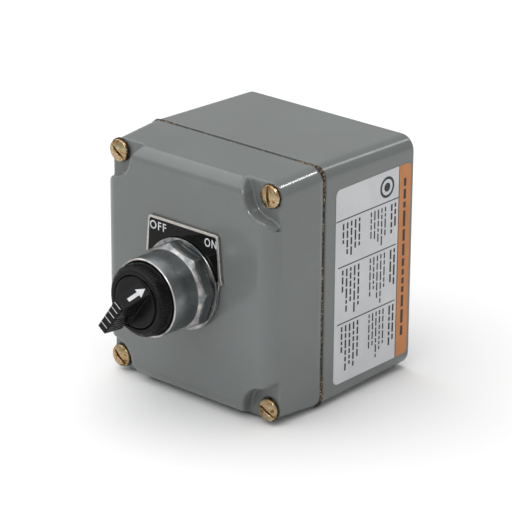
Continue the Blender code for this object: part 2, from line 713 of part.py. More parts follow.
def shaft_seal():
    """O-ring round the shaft, in the front of the switch body."""
    centre = (SHAFT_RADIUS + GAP + SEAL_WIRE, (SEAL_SEAT + CUP_FLOOR) / 2)
    turned("shaft_seal", circle(centre, SEAL_WIRE, 10)[::-1], "rubber", 24)


def operator_body():
    """Cast switch body: the barrel through the panel, a flange behind it and the cam chamber."""
    profile = [
        (SEAL_SEAT_RADIUS, BARREL_FRONT),
        (BARREL_RADIUS, BARREL_FRONT),
        (BARREL_RADIUS, FLANGE_FRONT),
        (FLANGE_RADIUS, FLANGE_FRONT),
        (FLANGE_RADIUS, FLANGE_BACK),
        (BODY_RADIUS, FLANGE_BACK),
        (BODY_RADIUS, BODY_BACK),
        (CHAMBER_RADIUS, BODY_BACK),
        (CHAMBER_RADIUS, CHAMBER_FRONT),
        (SHAFT_BORE, CHAMBER_FRONT),
        (SHAFT_BORE, SEAL_SEAT),
        (SEAL_SEAT_RADIUS, SEAL_SEAT),
    ]
    body = turned("operator_body", profile, "zinc_casting", 48)
    for level in (1, -1):
        centre = (0.0, level * BLOCK_SCREW_HEIGHT)
        radius = BLOCK_SCREW_SHANK + GAP
        combine(body, cylinder(f"body_tap_{level}", centre, radius, BODY_BACK - WALL, BODY_TAP_END))


def panel_gasket():
    """Rubber ring that seals the switch body's flange to the inside of the cover."""
    low, high = FLANGE_FRONT + GAP, -WALL - GAP
    inner, outer = BARREL_RADIUS + GAP, PANEL_GASKET_RADIUS
    turned("panel_gasket", [(inner, high), (outer, high), (outer, low), (inner, low)], "rubber", 40)


# Cam and contacts behind the cover


def cam_height(angle):
    """Rear face of the cam at an angle from the rods: two peaks that fall away both ways."""
    away = abs((math.degrees(angle) + 90.0) % 180.0 - 90.0)
    share = max(0.0, 1.0 - away / math.degrees(KNOB_THROW))
    return CAM_VALLEY - CAM_TRAVEL * share


def face_cam():
    """Disc on the shaft whose rear face rises to two peaks, so that turning it moves the rods."""
    bore = SHAFT_TIP + GAP
    steps = 60
    shape = bmesh.new()
    bmesh.ops.create_cone(
        shape, cap_ends=False, segments=steps, radius1=CAM_RADIUS, radius2=CAM_RADIUS, depth=2.0
    )
    outer = list(shape.faces)
    inner = bmesh.ops.duplicate(shape, geom=outer)["geom"]
    for vertex in (item for item in inner if isinstance(item, bmesh.types.BMVert)):
        vertex.co.x *= bore / CAM_RADIUS
        vertex.co.y *= bore / CAM_RADIUS
    bmesh.ops.reverse_faces(shape, faces=[item for item in inner if isinstance(item, bmesh.types.BMFace)])
    for level in (-1.0, 1.0):
        rims = [edge for edge in shape.edges if all(v.co.z == level for v in edge.verts)]
        bmesh.ops.bridge_loops(shape, edges=rims)
    for vertex in shape.verts:
        angle = math.atan2(vertex.co.y, vertex.co.x)
        vertex.co.z = CAM_FRONT if vertex.co.z > 0 else cam_height(angle)
    bmesh.ops.triangulate(shape, faces=shape.faces)
    bmesh.ops.recalc_face_normals(shape, faces=shape.faces)
    mesh = bpy.data.meshes.new("face_cam")
    shape.to_mesh(mesh)
    shape.free()
    add("face_cam", mesh, "nylon")


def guide_plate():
    """Plate across the back of the switch body that guides the two push rods."""
    outline = rounded_rectangle(BLOCK_HALF, BLOCK_CORNER, 2)
    holes = [circle((side * ROD_OFFSET, 0.0), ROD_RADIUS + GAP) for side in (-1, 1)]
    clearance = BLOCK_SCREW_SHANK + GAP
    holes += [circle((0.0, level * BLOCK_SCREW_HEIGHT), clearance, 16) for level in (-1, 1)]
    plate("plunger_guide_plate", [outline, *holes], GUIDE_BACK, GUIDE_FRONT, "steel")


def contact_block():
    """Moulded housing with a chamber for each set of contacts and a shelf for their terminals."""
    housing = block("contact_block", (0.0, 0.0), BLOCK_HALF, BLOCK_BACK, BLOCK_FRONT, "grey_plastic")
    combine(housing, block("block_shelf", (0.0, 0.0), SHELF_HALF, SHELF_BACK, SHELF_FRONT), "UNION")
    for side in (-1, 1):
        centre = (side * ROD_OFFSET, 0.0)
        combine(housing, block(f"chamber_{side}", centre, CHAMBER_HALF, CHAMBER_BACK, BLOCK_FRONT + WALL))
        slit_half = (STRIP_HALF_WIDTH + GAP, SHELF_HALF[1] + WALL)
        combine(housing, block(f"strip_slit_{side}", centre, slit_half, SHELF_FRONT, STRIP_FRONT + GAP))
        for level in (-1, 1):
            hole = (side * ROD_OFFSET, level * TERMINAL_HEIGHT)
            name = f"terminal_hole_{side}_{level}"
            radius = TERMINAL_SHANK + GAP
            combine(housing, cylinder(name, hole, radius, TERMINAL_END - GAP, STRIP_FRONT, steps=12))
    for level in (-1, 1):
        centre = (0.0, level * BLOCK_SCREW_HEIGHT)
        radius = BLOCK_SCREW_SHANK + GAP
        low, high = BLOCK_BACK - WALL, BLOCK_FRONT + WALL
        combine(housing, cylinder(f"block_hole_{level}", centre, radius, low, high, steps=16))


def fixed_contacts():
    """Brass strip and terminal screw at the top and bottom of each chamber."""
    low = SHELF_FRONT + GAP
    head_low = STRIP_FRONT + GAP
    head_top = head_low + SMALL_HEAD_HEIGHT
    profile = [
        (0.0, head_top),
        (TERMINAL_HEAD, head_top),
        (TERMINAL_HEAD, head_low),
        (TERMINAL_SHANK, head_low),
        (TERMINAL_SHANK, TERMINAL_END),
        (0.0, TERMINAL_END),
    ]
    for kind, side in (("no", -1), ("nc", 1)):
        for place, level in (("upper", 1), ("lower", -1)):
            middle = (side * ROD_OFFSET, level * (STRIP_INNER + STRIP_OUTER) / 2)
            half = (STRIP_HALF_WIDTH, (STRIP_OUTER - STRIP_INNER) / 2)
            strip = block(f"fixed_contact_{kind}_{place}", middle, half, low, STRIP_FRONT, "brass")
            centre = (side * ROD_OFFSET, level * TERMINAL_HEIGHT)
            name = f"contact_hole_{kind}_{place}"
            radius = TERMINAL_SHANK + GAP
            combine(strip, cylinder(name, centre, radius, low - WALL, STRIP_FRONT + WALL, steps=12))
            screw = turned(f"terminal_screw_{kind}_{place}", profile, "steel", 16, centre)
            slot_half = (TERMINAL_HEAD + WALL, SMALL_SLOT_HALF)
            name = f"terminal_slot_{kind}_{place}"
            combine(screw, block(name, centre, slot_half, head_top - SMALL_SLOT_DEPTH, head_top + WALL))


def moving_contacts():
    """Push rod, carrier, contact bridge and return spring of each set of contacts."""
    closed_back = STRIP_FRONT + GAP
    open_back = SHELF_FRONT - CAM_TRAVEL - STRIP_THICKNESS
    for kind, side, bridge_back in (("no", -1, closed_back), ("nc", 1, open_back)):
        centre = (side * ROD_OFFSET, 0.0)
        profile = [
            (0.0, ROD_TIP),
            (ROD_TIP_RADIUS, ROD_TIP),
            (ROD_RADIUS, ROD_TIP - (ROD_RADIUS - ROD_TIP_RADIUS)),
            (ROD_RADIUS, ROD_END),
            (0.0, ROD_END),
        ]
        turned(f"push_rod_{kind}", profile, "nylon", 20, centre)
        carrier_front = ROD_END - GAP
        finish = "red_plastic" if kind == "nc" else "nylon"
        carrier = block(
            f"contact_carrier_{kind}", centre, CARRIER_HALF, CARRIER_BACK, carrier_front, finish
        )
        bridge_front = bridge_back + STRIP_THICKNESS
        window_half = (BRIDGE_HALF[0] + GAP, CARRIER_HALF[1] + WALL)
        window = block(f"window_{kind}", centre, window_half, bridge_back - GAP, bridge_front + GAP)
        combine(carrier, window)
        block(f"contact_bridge_{kind}", centre, BRIDGE_HALF, bridge_back, bridge_front, "copper")
        return_spring(f"return_spring_{kind}", centre, CHAMBER_BACK + GAP, CARRIER_BACK - GAP)


def return_spring(name, centre, low, high):
    """Compression spring behind a carrier."""
    steps = 12
    curve = bpy.data.curves.new(name, "CURVE")
    curve.dimensions = "3D"
    curve.bevel_depth = SPRING_WIRE
    curve.bevel_resolution = 1
    curve.use_fill_caps = True
    spline = curve.splines.new("POLY")
    spline.points.add(SPRING_TURNS * steps)
    length = high - low - 2 * SPRING_WIRE
    for index, point in enumerate(spline.points):
        angle = 2 * math.pi * index / steps
        height = low + SPRING_WIRE + length * index / (SPRING_TURNS * steps)
        point.co = (SPRING_RADIUS * math.cos(angle), SPRING_RADIUS * math.sin(angle), height, 1.0)
    add(name, curve, "steel", location=(*centre, 0.0))


def block_screws():
    """Two long screws that hold the contact block and guide plate to the switch body."""
    top = BLOCK_BACK - GAP
    end = top - SMALL_HEAD_HEIGHT
    profile = [
        (0.0, BLOCK_SCREW_TIP),
        (BLOCK_SCREW_SHANK, BLOCK_SCREW_TIP),
        (BLOCK_SCREW_SHANK, top),
        (BLOCK_SCREW_HEAD, top),
        (BLOCK_SCREW_HEAD, end),
        (0.0, end),
    ]
    for place, level in (("upper", 1), ("lower", -1)):
        centre = (0.0, level * BLOCK_SCREW_HEIGHT)
        screw = turned(f"block_screw_{place}", profile, "steel", 16, centre)
        slot_half = (BLOCK_SCREW_HEAD + WALL, SMALL_SLOT_HALF)
        name = f"block_screw_slot_{place}"
        combine(screw, block(name, centre, slot_half, end - WALL, end + SMALL_SLOT_DEPTH))


def settle():
    """Applies every piece's modifiers and shades its round faces smooth."""
    bpy.context.view_layer.update()
    depsgraph = bpy.context.evaluated_depsgraph_get()
    pieces = [obj for obj in PARTS.objects if obj.type == "MESH"]
    meshes = [bpy.data.meshes.new_from_object(obj.evaluated_get(depsgraph)) for obj in pieces]
    for obj, mesh in zip(pieces, meshes):
        obj.modifiers.clear()
        obj.data = mesh
        mesh.shade_smooth()
        mesh.set_sharp_from_angle(angle=math.radians(35.0))


enclosure_cover()
enclosure_box()
cover_gasket()
cover_screws()
side_label()
ground_screw()
legend_plate()
thrust_washer()
ring_nut()
selector_bezel()
selector_knob()
knob_arrow()
selector_shaft()
shaft_seal()
operator_body()
panel_gasket()
face_cam()
guide_plate()
contact_block()
fixed_contacts()
moving_contacts()
block_screws()
settle()
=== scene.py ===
"""Rotary ON/OFF selector station: its looks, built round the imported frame."""

import math
import random

import bmesh
import bpy
import numpy as np
from mathutils import Matrix, Vector


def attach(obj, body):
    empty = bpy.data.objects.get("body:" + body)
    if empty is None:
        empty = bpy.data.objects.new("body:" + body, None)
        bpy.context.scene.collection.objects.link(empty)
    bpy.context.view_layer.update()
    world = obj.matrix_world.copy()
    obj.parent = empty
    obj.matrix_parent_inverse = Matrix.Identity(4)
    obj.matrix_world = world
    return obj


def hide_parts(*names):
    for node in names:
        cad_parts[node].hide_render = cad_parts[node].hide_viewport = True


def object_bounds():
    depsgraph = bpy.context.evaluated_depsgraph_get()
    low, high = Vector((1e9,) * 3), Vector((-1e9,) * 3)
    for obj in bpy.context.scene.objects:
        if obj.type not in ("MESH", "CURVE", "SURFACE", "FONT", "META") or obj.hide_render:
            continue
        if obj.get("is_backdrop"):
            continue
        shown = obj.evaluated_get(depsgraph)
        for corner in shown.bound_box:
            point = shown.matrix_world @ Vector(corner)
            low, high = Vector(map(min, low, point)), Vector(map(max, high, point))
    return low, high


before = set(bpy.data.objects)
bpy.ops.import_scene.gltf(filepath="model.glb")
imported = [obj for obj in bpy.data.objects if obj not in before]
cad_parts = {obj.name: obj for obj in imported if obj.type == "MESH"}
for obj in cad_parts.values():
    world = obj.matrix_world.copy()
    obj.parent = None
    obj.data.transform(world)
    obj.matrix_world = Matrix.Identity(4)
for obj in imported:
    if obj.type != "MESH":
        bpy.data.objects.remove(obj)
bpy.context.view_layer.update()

MM = 0.001

# Enclosure, as half sizes across and up and as depths, in mm
SEAM = (54.0, 59.6)
FRONT = (51.9, 57.4)
BACK = (53.4, 58.2)
COVER_DEPTH = 33.5
BOX_FRONT = 35.5
TOTAL_DEPTH = 100.5
SIDE_ROUND = 7.5
FRONT_ROUND = 7.5
BACK_ROUND = 2.0
COVER_LIP_ROUND = 0.5
BOX_LIP_ROUND = 0.7
CAVITY = (48.0, 53.5)
CAVITY_ROUND = 1.0
WALL = 4.5
COVER_BOSS = 8.5
BOX_BOSS = 10.0

# Front panel's own frame, in mm: x to the right, y up and z forward of the cover's flat front
PANEL = Matrix.Translation((0.0, -TOTAL_DEPTH * MM, 0.0)) @ Matrix.Rotation(math.radians(90.0), 4, "X")

# Corner pockets; the flare leans a pocket's straight walls apart, and its scale keeps their field even
SCREW = (46.7, 51.9)
POCKET_RADIUS = 11.3
POCKET_DEPTH = 6.9
POCKET_SHELF = 10.1
POCKET_WALL = 3.2
POCKET_FLARE = 0.5
FLARE_SCALE = 0.94
POCKET_FILLET = 1.1
POCKET_RIM = 1.2

# Holes of the castings, as centres, radii and ends
OPERATOR_HOLE = 15.4
SCREW_HOLE = 2.8
SCREW_HOLE_END = -61.0
MOUNT_SPOT = (44.0, 49.0)
MOUNT_HOLE = 2.6
MOUNT_DEPTH = 12.0
ENTRY_DEPTH = 68.5
ENTRY_HOLE = 13.4
ENTRY_END = -50.0
GROUND_SPOT = (-32.0, -36.0)
GROUND_HOLE = 2.3
GROUND_END = -99.1

# Cover screws, with their lock washers; a corner gives its side, its level and its slot's angle
SCREW_HEAD = 5.4
SCREW_TOP = -3.3
SCREW_CROWN = 1.3
SCREW_SEAT = -5.7
SLOT_HALF = 0.7
SLOT_FLOOR = -5.1
SCREW_SHANK = 2.4
SCREW_END = -52.0
WASHER_TOP = -6.08
WASHER_TEETH = 14
CORNERS = {
    "upper_right": (1, 1, 96.0),
    "upper_left": (-1, 1, -38.0),
    "lower_left": (-1, -1, -42.0),
    "lower_right": (1, -1, -28.0),
}

# Selector, as heights in front of the cover and, for the lever's outline, as (along, height)
LEGEND_TOP = 1.8
COLLAR = 18.85
RING_FRONT = 26.9
BEZEL_FRONT = 33.3
KNOB_FRONT = 33.6
KNOB_RADIUS = 12.4
KNOB_BACK = 24.0
HUB_RADIUS = 8.5
HUB_BACK = 15.2
HUB_FRONT = 30.0
BORE_RADIUS = 4.3
BORE_END = 29.3
LEVER_ANGLE = math.radians(-36.0)
LEVER_RISE = 12.8
RAMP_FOOT = (11.1, 33.6)
RAMP_TOP = (3.8, 46.0)
TAIL_TOP = (-14.5, 46.8)
TAIL_BOTTOM = (-16.4, 34.4)

# Grip lines across the lever, as places along it; those of its sides are closer
MARKS = (2.8, -0.3, -3.6, -7.2, -11.0)
SIDE_MARKS = (-3.6, -5.4, -7.2, -9.1, -11.0, -12.8)
MARK_SLANT = 0.15
GROOVE_HALF = 0.26
GROOVE_DEPTH = 0.28

# Meshing of the distance fields: moves per point, how far it may leave its cell, and least slope squared
SKIN_STEPS = 8
SKIN_SLACK = 0.2
SKIN_LEAST_SLOPE = 0.2

random.seed(4)
NOISE = np.random.default_rng(7)


# Materials


def link(tree, source, target):
    """Joins two sockets, each given as (node, socket name)."""
    tree.links.new(source[0].outputs[source[1]], target[0].inputs[target[1]])


def noise(tree, where, scale, detail=4.0, roughness=0.55):
    """Noise texture read at the places that a socket gives."""
    node = tree.nodes.new("ShaderNodeTexNoise")
    node.inputs["Scale"].default_value = scale
    node.inputs["Detail"].default_value = detail
    node.inputs["Roughness"].default_value = roughness
    link(tree, where, (node, "Vector"))
    return node


def ramp(tree, source, stops):
    """Colour ramp over a value, with its stops as (position, colour)."""
    node = tree.nodes.new("ShaderNodeValToRGB")
    elements = node.color_ramp.elements
    while len(elements) < len(stops):
        elements.new(0.5)
    for element, (position, colour) in zip(elements, stops):
        element.position = position
        element.color = (*colour, 1.0)
    link(tree, source, (node, "Fac"))
    return node


def spread(tree, source, low, high):
    """Stretches the middle of a noise value over a range."""
    node = tree.nodes.new("ShaderNodeMapRange")
    node.inputs["From Min"].default_value = 0.3
    node.inputs["From Max"].default_value = 0.7
    node.inputs["To Min"].default_value = low
    node.inputs["To Max"].default_value = high
    link(tree, source, (node, "Value"))
    return node


def finish(
    name,
    dark,
    light,
    rough,
    metallic=0.0,
    scale=120.0,
    bump=(900.0, 0.02),
    coat=0.0,
    shine=0.5,
    stretch=None,
):
    """Material that wanders between two colours and two roughnesses, over a fine uneven surface.

    dark and light are linear colours, rough the range of roughness, scale the size of the mottling,
    and bump the size and depth of the fine relief. shine is the strength of a non-metal's reflection,
    and stretch draws the texture out, as brushing does.
    """
    made = bpy.data.materials.new(name)
    made.use_nodes = True
    tree = made.node_tree
    shader = tree.nodes["Principled BSDF"]
    where = (tree.nodes.new("ShaderNodeTexCoord"), "Object")
    if stretch:
        mapping = tree.nodes.new("ShaderNodeMapping")
        mapping.inputs["Scale"].default_value = stretch
        link(tree, where, (mapping, "Vector"))
        where = (mapping, "Vector")
    wide = noise(tree, where, scale)
    colours = ramp(tree, (wide, "Fac"), [(0.36, dark), (0.64, light)])
    link(tree, (colours, "Color"), (shader, "Base Color"))
    patches = noise(tree, where, scale * 2.3, 6.0)
    roughness = spread(tree, (patches, "Fac"), *rough)
    link(tree, (roughness, "Result"), (shader, "Roughness"))
    fine = noise(tree, where, bump[0], 3.0)
    relief = tree.nodes.new("ShaderNodeBump")
    relief.inputs["Strength"].default_value = 1.0
    relief.inputs["Distance"].default_value = bump[1] * MM
    link(tree, (fine, "Fac"), (relief, "Height"))
    link(tree, (relief, "Normal"), (shader, "Normal"))
    shader.inputs["Metallic"].default_value = metallic
    shader.inputs["Specular IOR Level"].default_value = shine
    shader.inputs["Coat Weight"].default_value = coat
    shader.inputs["Coat Roughness"].default_value = 0.06
    return made


def granules(name):
    """Cork and rubber composition: tan and near-black grains."""
    made = finish(name, (0.02, 0.014, 0.006), (0.08, 0.05, 0.02), (0.75, 0.95), scale=500.0)
    tree = made.node_tree
    shader = tree.nodes["Principled BSDF"]
    where = (tree.nodes["Texture Coordinate"], "Object")
    cells = tree.nodes.new("ShaderNodeTexVoronoi")
    cells.inputs["Scale"].default_value = 1900.0
    link(tree, where, (cells, "Vector"))
    split = tree.nodes.new("ShaderNodeSeparateColor")
    link(tree, (cells, "Color"), (split, "Color"))
    black, brown = (0.010, 0.007, 0.004), (0.045, 0.028, 0.014)
    russet, tan = (0.15, 0.10, 0.05), (0.50, 0.36, 0.19)
    colours = ramp(tree, (split, "Red"), [(0.0, black), (0.68, brown), (0.84, russet), (0.96, tan)])
    link(tree, (colours, "Color"), (shader, "Base Color"))
    relief = tree.nodes["Bump"]
    relief.inputs["Distance"].default_value = 0.3 * MM
    link(tree, (cells, "Distance"), (relief, "Height"))
    return made


def plating():
    """Yellow zinc plating: brown, yellow and pinkish patches over bright metal."""
    brown, pale = (0.15, 0.09, 0.035), (0.52, 0.47, 0.33)
    yellow, pink, olive = (0.42, 0.28, 0.09), (0.50, 0.34, 0.27), (0.34, 0.28, 0.11)
    made = finish("zinc_iridescent", brown, pale, (0.24, 0.40), 1.0, scale=420.0, bump=(1500.0, 0.02))
    elements = made.node_tree.nodes["Color Ramp"].color_ramp.elements
    for position, colour in ((0.44, yellow), (0.50, pink), (0.56, olive)):
        elements.new(position).color = (*colour, 1.0)
    return made


def stained_chrome_with_painted_highlights():
    """Chrome with painted highlights as lighter colour on its washer, its sloping band and its front rim, and
    with a few brown specks.
    """
    dark, light, painted_highlight_colour = (0.155, 0.168, 0.173), (0.205, 0.218, 0.223), (0.55, 0.52, 0.51)
    dull, rust = (0.25, 0.25, 0.24), (0.22, 0.17, 0.12)
    made = finish("chrome_stained_painted_highlights", dark, light, (0.31, 0.39), 1.0, scale=160.0, bump=(500.0, 0.005))
    tree = made.node_tree
    colours = tree.nodes["Color Ramp"]
    # First stop: the near-white colour of the painted highlights. The dull and rust stops give the brown
    # specks.
    for position, colour in ((0.08, painted_highlight_colour), (0.69, dull), (0.75, rust)):
        colours.color_ramp.elements.new(position).color = (*colour, 1.0)
    parts = tree.nodes.new("ShaderNodeSeparateXYZ")
    link(tree, (tree.nodes["Texture Coordinate"], "Object"), (parts, "Vector"))
    height = tree.nodes.new("ShaderNodeMapRange")
    height.inputs["From Max"].default_value = (RING_FRONT + 0.1) * MM
    link(tree, (parts, "Z"), (height, "Value"))
    # Painted highlights: bands by height on the washer, the sloping band and the front rim. They are taken
    # off the mottle, so these places lean to the near-white stop.
    washer = [(0.12, 0.25), (0.14, 0.0)]
    bevel = [(0.31, 0.0), (0.34, 0.26), (0.42, 0.26), (0.44, 0.0)]
    rim = [(0.97, 0.0), (0.985, 0.34)]
    painted_highlight_stops = [(position, (share, share, share)) for position, share in washer + bevel + rim]
    painted_highlight_bands = ramp(tree, (height, "Result"), painted_highlight_stops)
    mottle_less_highlight = tree.nodes.new("ShaderNodeMath")
    mottle_less_highlight.operation = "SUBTRACT"
    link(tree, (tree.nodes["Noise Texture"], "Fac"), (mottle_less_highlight, 0))
    link(tree, (painted_highlight_bands, "Color"), (mottle_less_highlight, 1))
    link(tree, (mottle_less_highlight, "Value"), (colours, "Fac"))
    return made


GREY_DARK, GREY_LIGHT = (0.158, 0.170, 0.167), (0.167, 0.180, 0.177)
ALUMINIUM_DARK, ALUMINIUM_LIGHT = (0.40, 0.38, 0.36), (0.56, 0.53, 0.50)
ENAMEL = {"scale": 28.0, "bump": (260.0, 0.010), "coat": 0.12, "shine": 0.35}
BRUSHED = {"metallic": 1.0, "scale": 200.0, "stretch": (1.0, 12.0, 1.0)}
CAST = {"metallic": 1.0, "bump": (900.0, 0.06)}
ROLLED = {"metallic": 1.0, "scale": 250.0}
JET = {"shine": 0.14}
FINISHES = {
    "grey_enamel": finish("enamel_grey", GREY_DARK, GREY_LIGHT, (0.17, 0.24), **ENAMEL),
    "cork_rubber": granules("cork_grains"),
    "yellow_zinc": plating(),
    "label_film": finish("film_white", (0.58, 0.585, 0.60), (0.63, 0.635, 0.65), (0.45, 0.6), scale=60.0),
    "legend_aluminium": finish("aluminium_satin", ALUMINIUM_DARK, ALUMINIUM_LIGHT, (0.25, 0.40), **BRUSHED),
    "chrome": stained_chrome_with_painted_highlights(),
    "black_plastic": finish("plastic_black", (0.004,) * 3, (0.007,) * 3, (0.20, 0.30), **JET),
    "white_paint": finish("paint_white", (0.62, 0.63, 0.65), (0.74, 0.75, 0.77), (0.45, 0.6), scale=400.0),
    "zinc_casting": finish("casting_zinc", (0.30, 0.30, 0.30), (0.42, 0.42, 0.43), (0.40, 0.60), **CAST),
    "steel": finish("steel_plated", (0.40, 0.40, 0.40), (0.55, 0.55, 0.56), (0.25, 0.42), 1.0, 300.0),
    "rubber": finish("rubber_black", (0.010, 0.010, 0.010), (0.020, 0.020, 0.020), (0.65, 0.85), scale=300.0),
    "nylon": finish("nylon_natural", (0.62, 0.59, 0.50), (0.70, 0.68, 0.60), (0.40, 0.55), scale=200.0),
    "red_plastic": finish("plastic_red", (0.36, 0.02, 0.02), (0.48, 0.035, 0.03), (0.38, 0.52), scale=200.0),
    "grey_plastic": finish("plastic_grey", (0.14, 0.14, 0.14), (0.19, 0.19, 0.19), (0.42, 0.58), scale=200.0),
    "brass": finish("brass_strip", (0.52, 0.34, 0.12), (0.66, 0.47, 0.20), (0.22, 0.38), **ROLLED),
    "copper": finish("copper_strip", (0.50, 0.22, 0.11), (0.65, 0.32, 0.17), (0.22, 0.38), **ROLLED),
    "green_steel": finish("steel_green", (0.02, 0.22, 0.06), (0.04, 0.34, 0.10), (0.30, 0.45), 0.5, 250.0),
    "legend_black": finish("legend_enamel", (0.003,) * 3, (0.006,) * 3, (0.08, 0.15), **JET),
    "washer_dark": finish("washer_oxide", (0.02, 0.018, 0.015), (0.16, 0.14, 0.11), (0.30, 0.50), 0.8, 500.0),
    "label_orange": finish("ink_orange", (0.52, 0.190, 0.045), (0.57, 0.215, 0.054), (0.45, 0.6), scale=90.0),
    "label_ink": finish("ink_black", (0.012, 0.011, 0.011), (0.026, 0.024, 0.024), (0.5, 0.65), scale=500.0),
}


# Pieces


def place(name, mesh, material, body="housing", nodes=(), turn=0.0):
    """Puts a piece that is drawn in the front panel's frame, in mm, on its body; turn is about z."""
    obj = bpy.data.objects.new(name, mesh)
    bpy.context.scene.collection.objects.link(obj)
    mesh.materials.clear()
    mesh.materials.append(FINISHES[material])
    obj.matrix_world = PANEL @ Matrix.Rotation(turn, 4, "Z")
    bpy.context.view_layer.update()
    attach(obj, body)
    if nodes:
        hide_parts(*nodes)
    return obj


def mesh_of(name, points, faces, normals=None):
    """Mesh from points in mm."""
    mesh = bpy.data.meshes.new(name)
    mesh.from_pydata((np.asarray(points, dtype=float) * MM).tolist(), [], [list(face) for face in faces])
    mesh.shade_smooth()
    if normals is not None:
        mesh.normals_split_custom_set_from_vertices(normals.tolist())
    return mesh


def round_max(a, b, radius):
    """Common part of two distance fields, with its outer edge rounded."""
    outer = np.hypot(np.maximum(a + radius, 0.0), np.maximum(b + radius, 0.0))
    return np.minimum(np.maximum(a, b), -radius) + outer


def round_min(a, b, radius):
    """Two distance fields joined, with a fillet between them."""
    return -round_max(-a, -b, radius)


def rounded_rectangle(x, y, half_x, half_y, radius):
    """Distance to a rectangle with round corners."""
    over_x = np.abs(x) - half_x + radius
    over_y = np.abs(y) - half_y + radius
    outside = np.hypot(np.maximum(over_x, 0.0), np.maximum(over_y, 0.0))
    return outside + np.minimum(np.maximum(over_x, over_y), 0.0) - radius


def slope_of(field, points):
    """Gradient of a distance field."""
    step = 0.02
    steps = np.eye(3) * step
    return np.stack([field(*(points + s).T) - field(*(points - s).T) for s in steps], axis=1) / (2 * step)


def skin(name, field, grid):
    """Mesh of a distance field's zero surface: one point in each grid cell that the surface crosses."""
    inside = field(*np.meshgrid(*grid, indexing="ij")) < 0.0
    shape = np.array(inside.shape)
    count = np.zeros(shape - 1, dtype=int)
    for corner in np.ndindex(2, 2, 2):
        count += inside[tuple(slice(c, c + n - 1) for c, n in zip(corner, shape))]
    crossed = (count > 0) & (count < 8)
    number = np.full(crossed.shape, -1)
    number[crossed] = np.arange(crossed.sum())
    cells = np.argwhere(crossed)
    low = np.stack([axis[cells[:, i]] for i, axis in enumerate(grid)], axis=1)
    high = np.stack([axis[cells[:, i] + 1] for i, axis in enumerate(grid)], axis=1)
    points = (low + high) / 2
    slack = (high - low) * SKIN_SLACK
    for _ in range(SKIN_STEPS):
        slope = slope_of(field, points)
        length = np.maximum((slope**2).sum(axis=1), SKIN_LEAST_SLOPE)
        points = points - slope * (field(*points.T) / length)[:, None]
        points = np.clip(points, low - slack, high + slack)
    faces = []
    for axis in range(3):
        across, along = (axis + 1) % 3, (axis + 2) % 3
        first = [slice(None)] * 3
        second = [slice(None)] * 3
        first[axis], second[axis] = slice(0, -1), slice(1, None)
        starts, ends = inside[tuple(first)], inside[tuple(second)]
        edges = np.argwhere(starts != ends)
        keep = (edges[:, across] > 0) & (edges[:, along] > 0)
        keep &= (edges[:, across] < shape[across] - 1) & (edges[:, along] < shape[along] - 1)
        edges = edges[keep]
        quad = []
        for left, down in ((0, 0), (1, 0), (1, 1), (0, 1)):
            cell = edges.copy()
            cell[:, across] -= left
            cell[:, along] -= down
            quad.append(number[tuple(cell.T)])
        quad = np.stack(quad, axis=1)
        out = starts[tuple(edges.T)]
        faces.append(np.where(out[:, None], quad, quad[:, ::-1]))
    slope = slope_of(field, points)
    normals = slope / np.maximum(np.linalg.norm(slope, axis=1), 0.001)[:, None]
    return mesh_of(name, points, np.concatenate(faces).tolist(), normals)


def stations(*runs):
    """Grid positions from runs of (start, end, spacing)."""
    places = []
    for start, end, spacing in runs:
        count = max(1, round(abs(end - start) / spacing))
        places += list(np.linspace(start, end, count, endpoint=False))
    places.append(runs[-1][1])
    return np.array(sorted(places))


def mirrored(*runs):
    """Grid positions that are the same on both sides of 0, from runs of (end, spacing) outwards."""
    (middle, spacing), *rest = runs
    sides = []
    start = middle
    for end, gap in rest:
        sides.append((start, end, gap))
        start = end
    left = [(-end, -start, gap) for start, end, gap in sides[::-1]]
    return stations(*left, (-middle, middle, spacing), *sides)


def lathe(name, profile, steps=96, wobble=None):
    """Ring turned about the axis from a closed profile of (radius, height), down its outer side.

    wobble gives the radius and height at an angle in place of the profile's own.
    """
    points, faces = [], []
    count = len(profile)
    for step in range(steps):
        angle = 2 * math.pi * step / steps
        for radius, height in wobble(angle) if wobble else profile:
            points.append((radius * math.cos(angle), radius * math.sin(angle), height))
    for step in range(steps):
        here, there = step * count, (step + 1) % steps * count
        for i in range(count):
            j = (i + 1) % count
            faces.append((here + i, here + j, there + j, there + i))
    mesh = mesh_of(name, points, faces)
    mesh.set_sharp_from_angle(angle=math.radians(32.0))
    return mesh


def arc(centre, radius, start, end, steps):
    """Points along an arc, with its angles in degrees."""
    angles = [math.radians(start + (end - start) * i / steps) for i in range(steps + 1)]
    return [(centre[0] + radius * math.cos(a), centre[1] + radius * math.sin(a)) for a in angles]


def softened(profile, radius, steps=3):
    """Closed profile with its corners rounded; radius is the length taken off each side."""
    out = []
    for i, corner in enumerate(profile):
        corner = Vector(corner)
        before = Vector(profile[i - 1]) - corner
        after = Vector(profile[(i + 1) % len(profile)]) - corner
        cut = min(radius, before.length * 0.45, after.length * 0.45)
        start, end = corner + before.normalized() * cut, corner + after.normalized() * cut
        for step in range(steps + 1):
            share = step / steps
            point = start * (1 - share) ** 2 + corner * 2 * share * (1 - share) + end * share**2
            out.append((point.x, point.y))
    return out


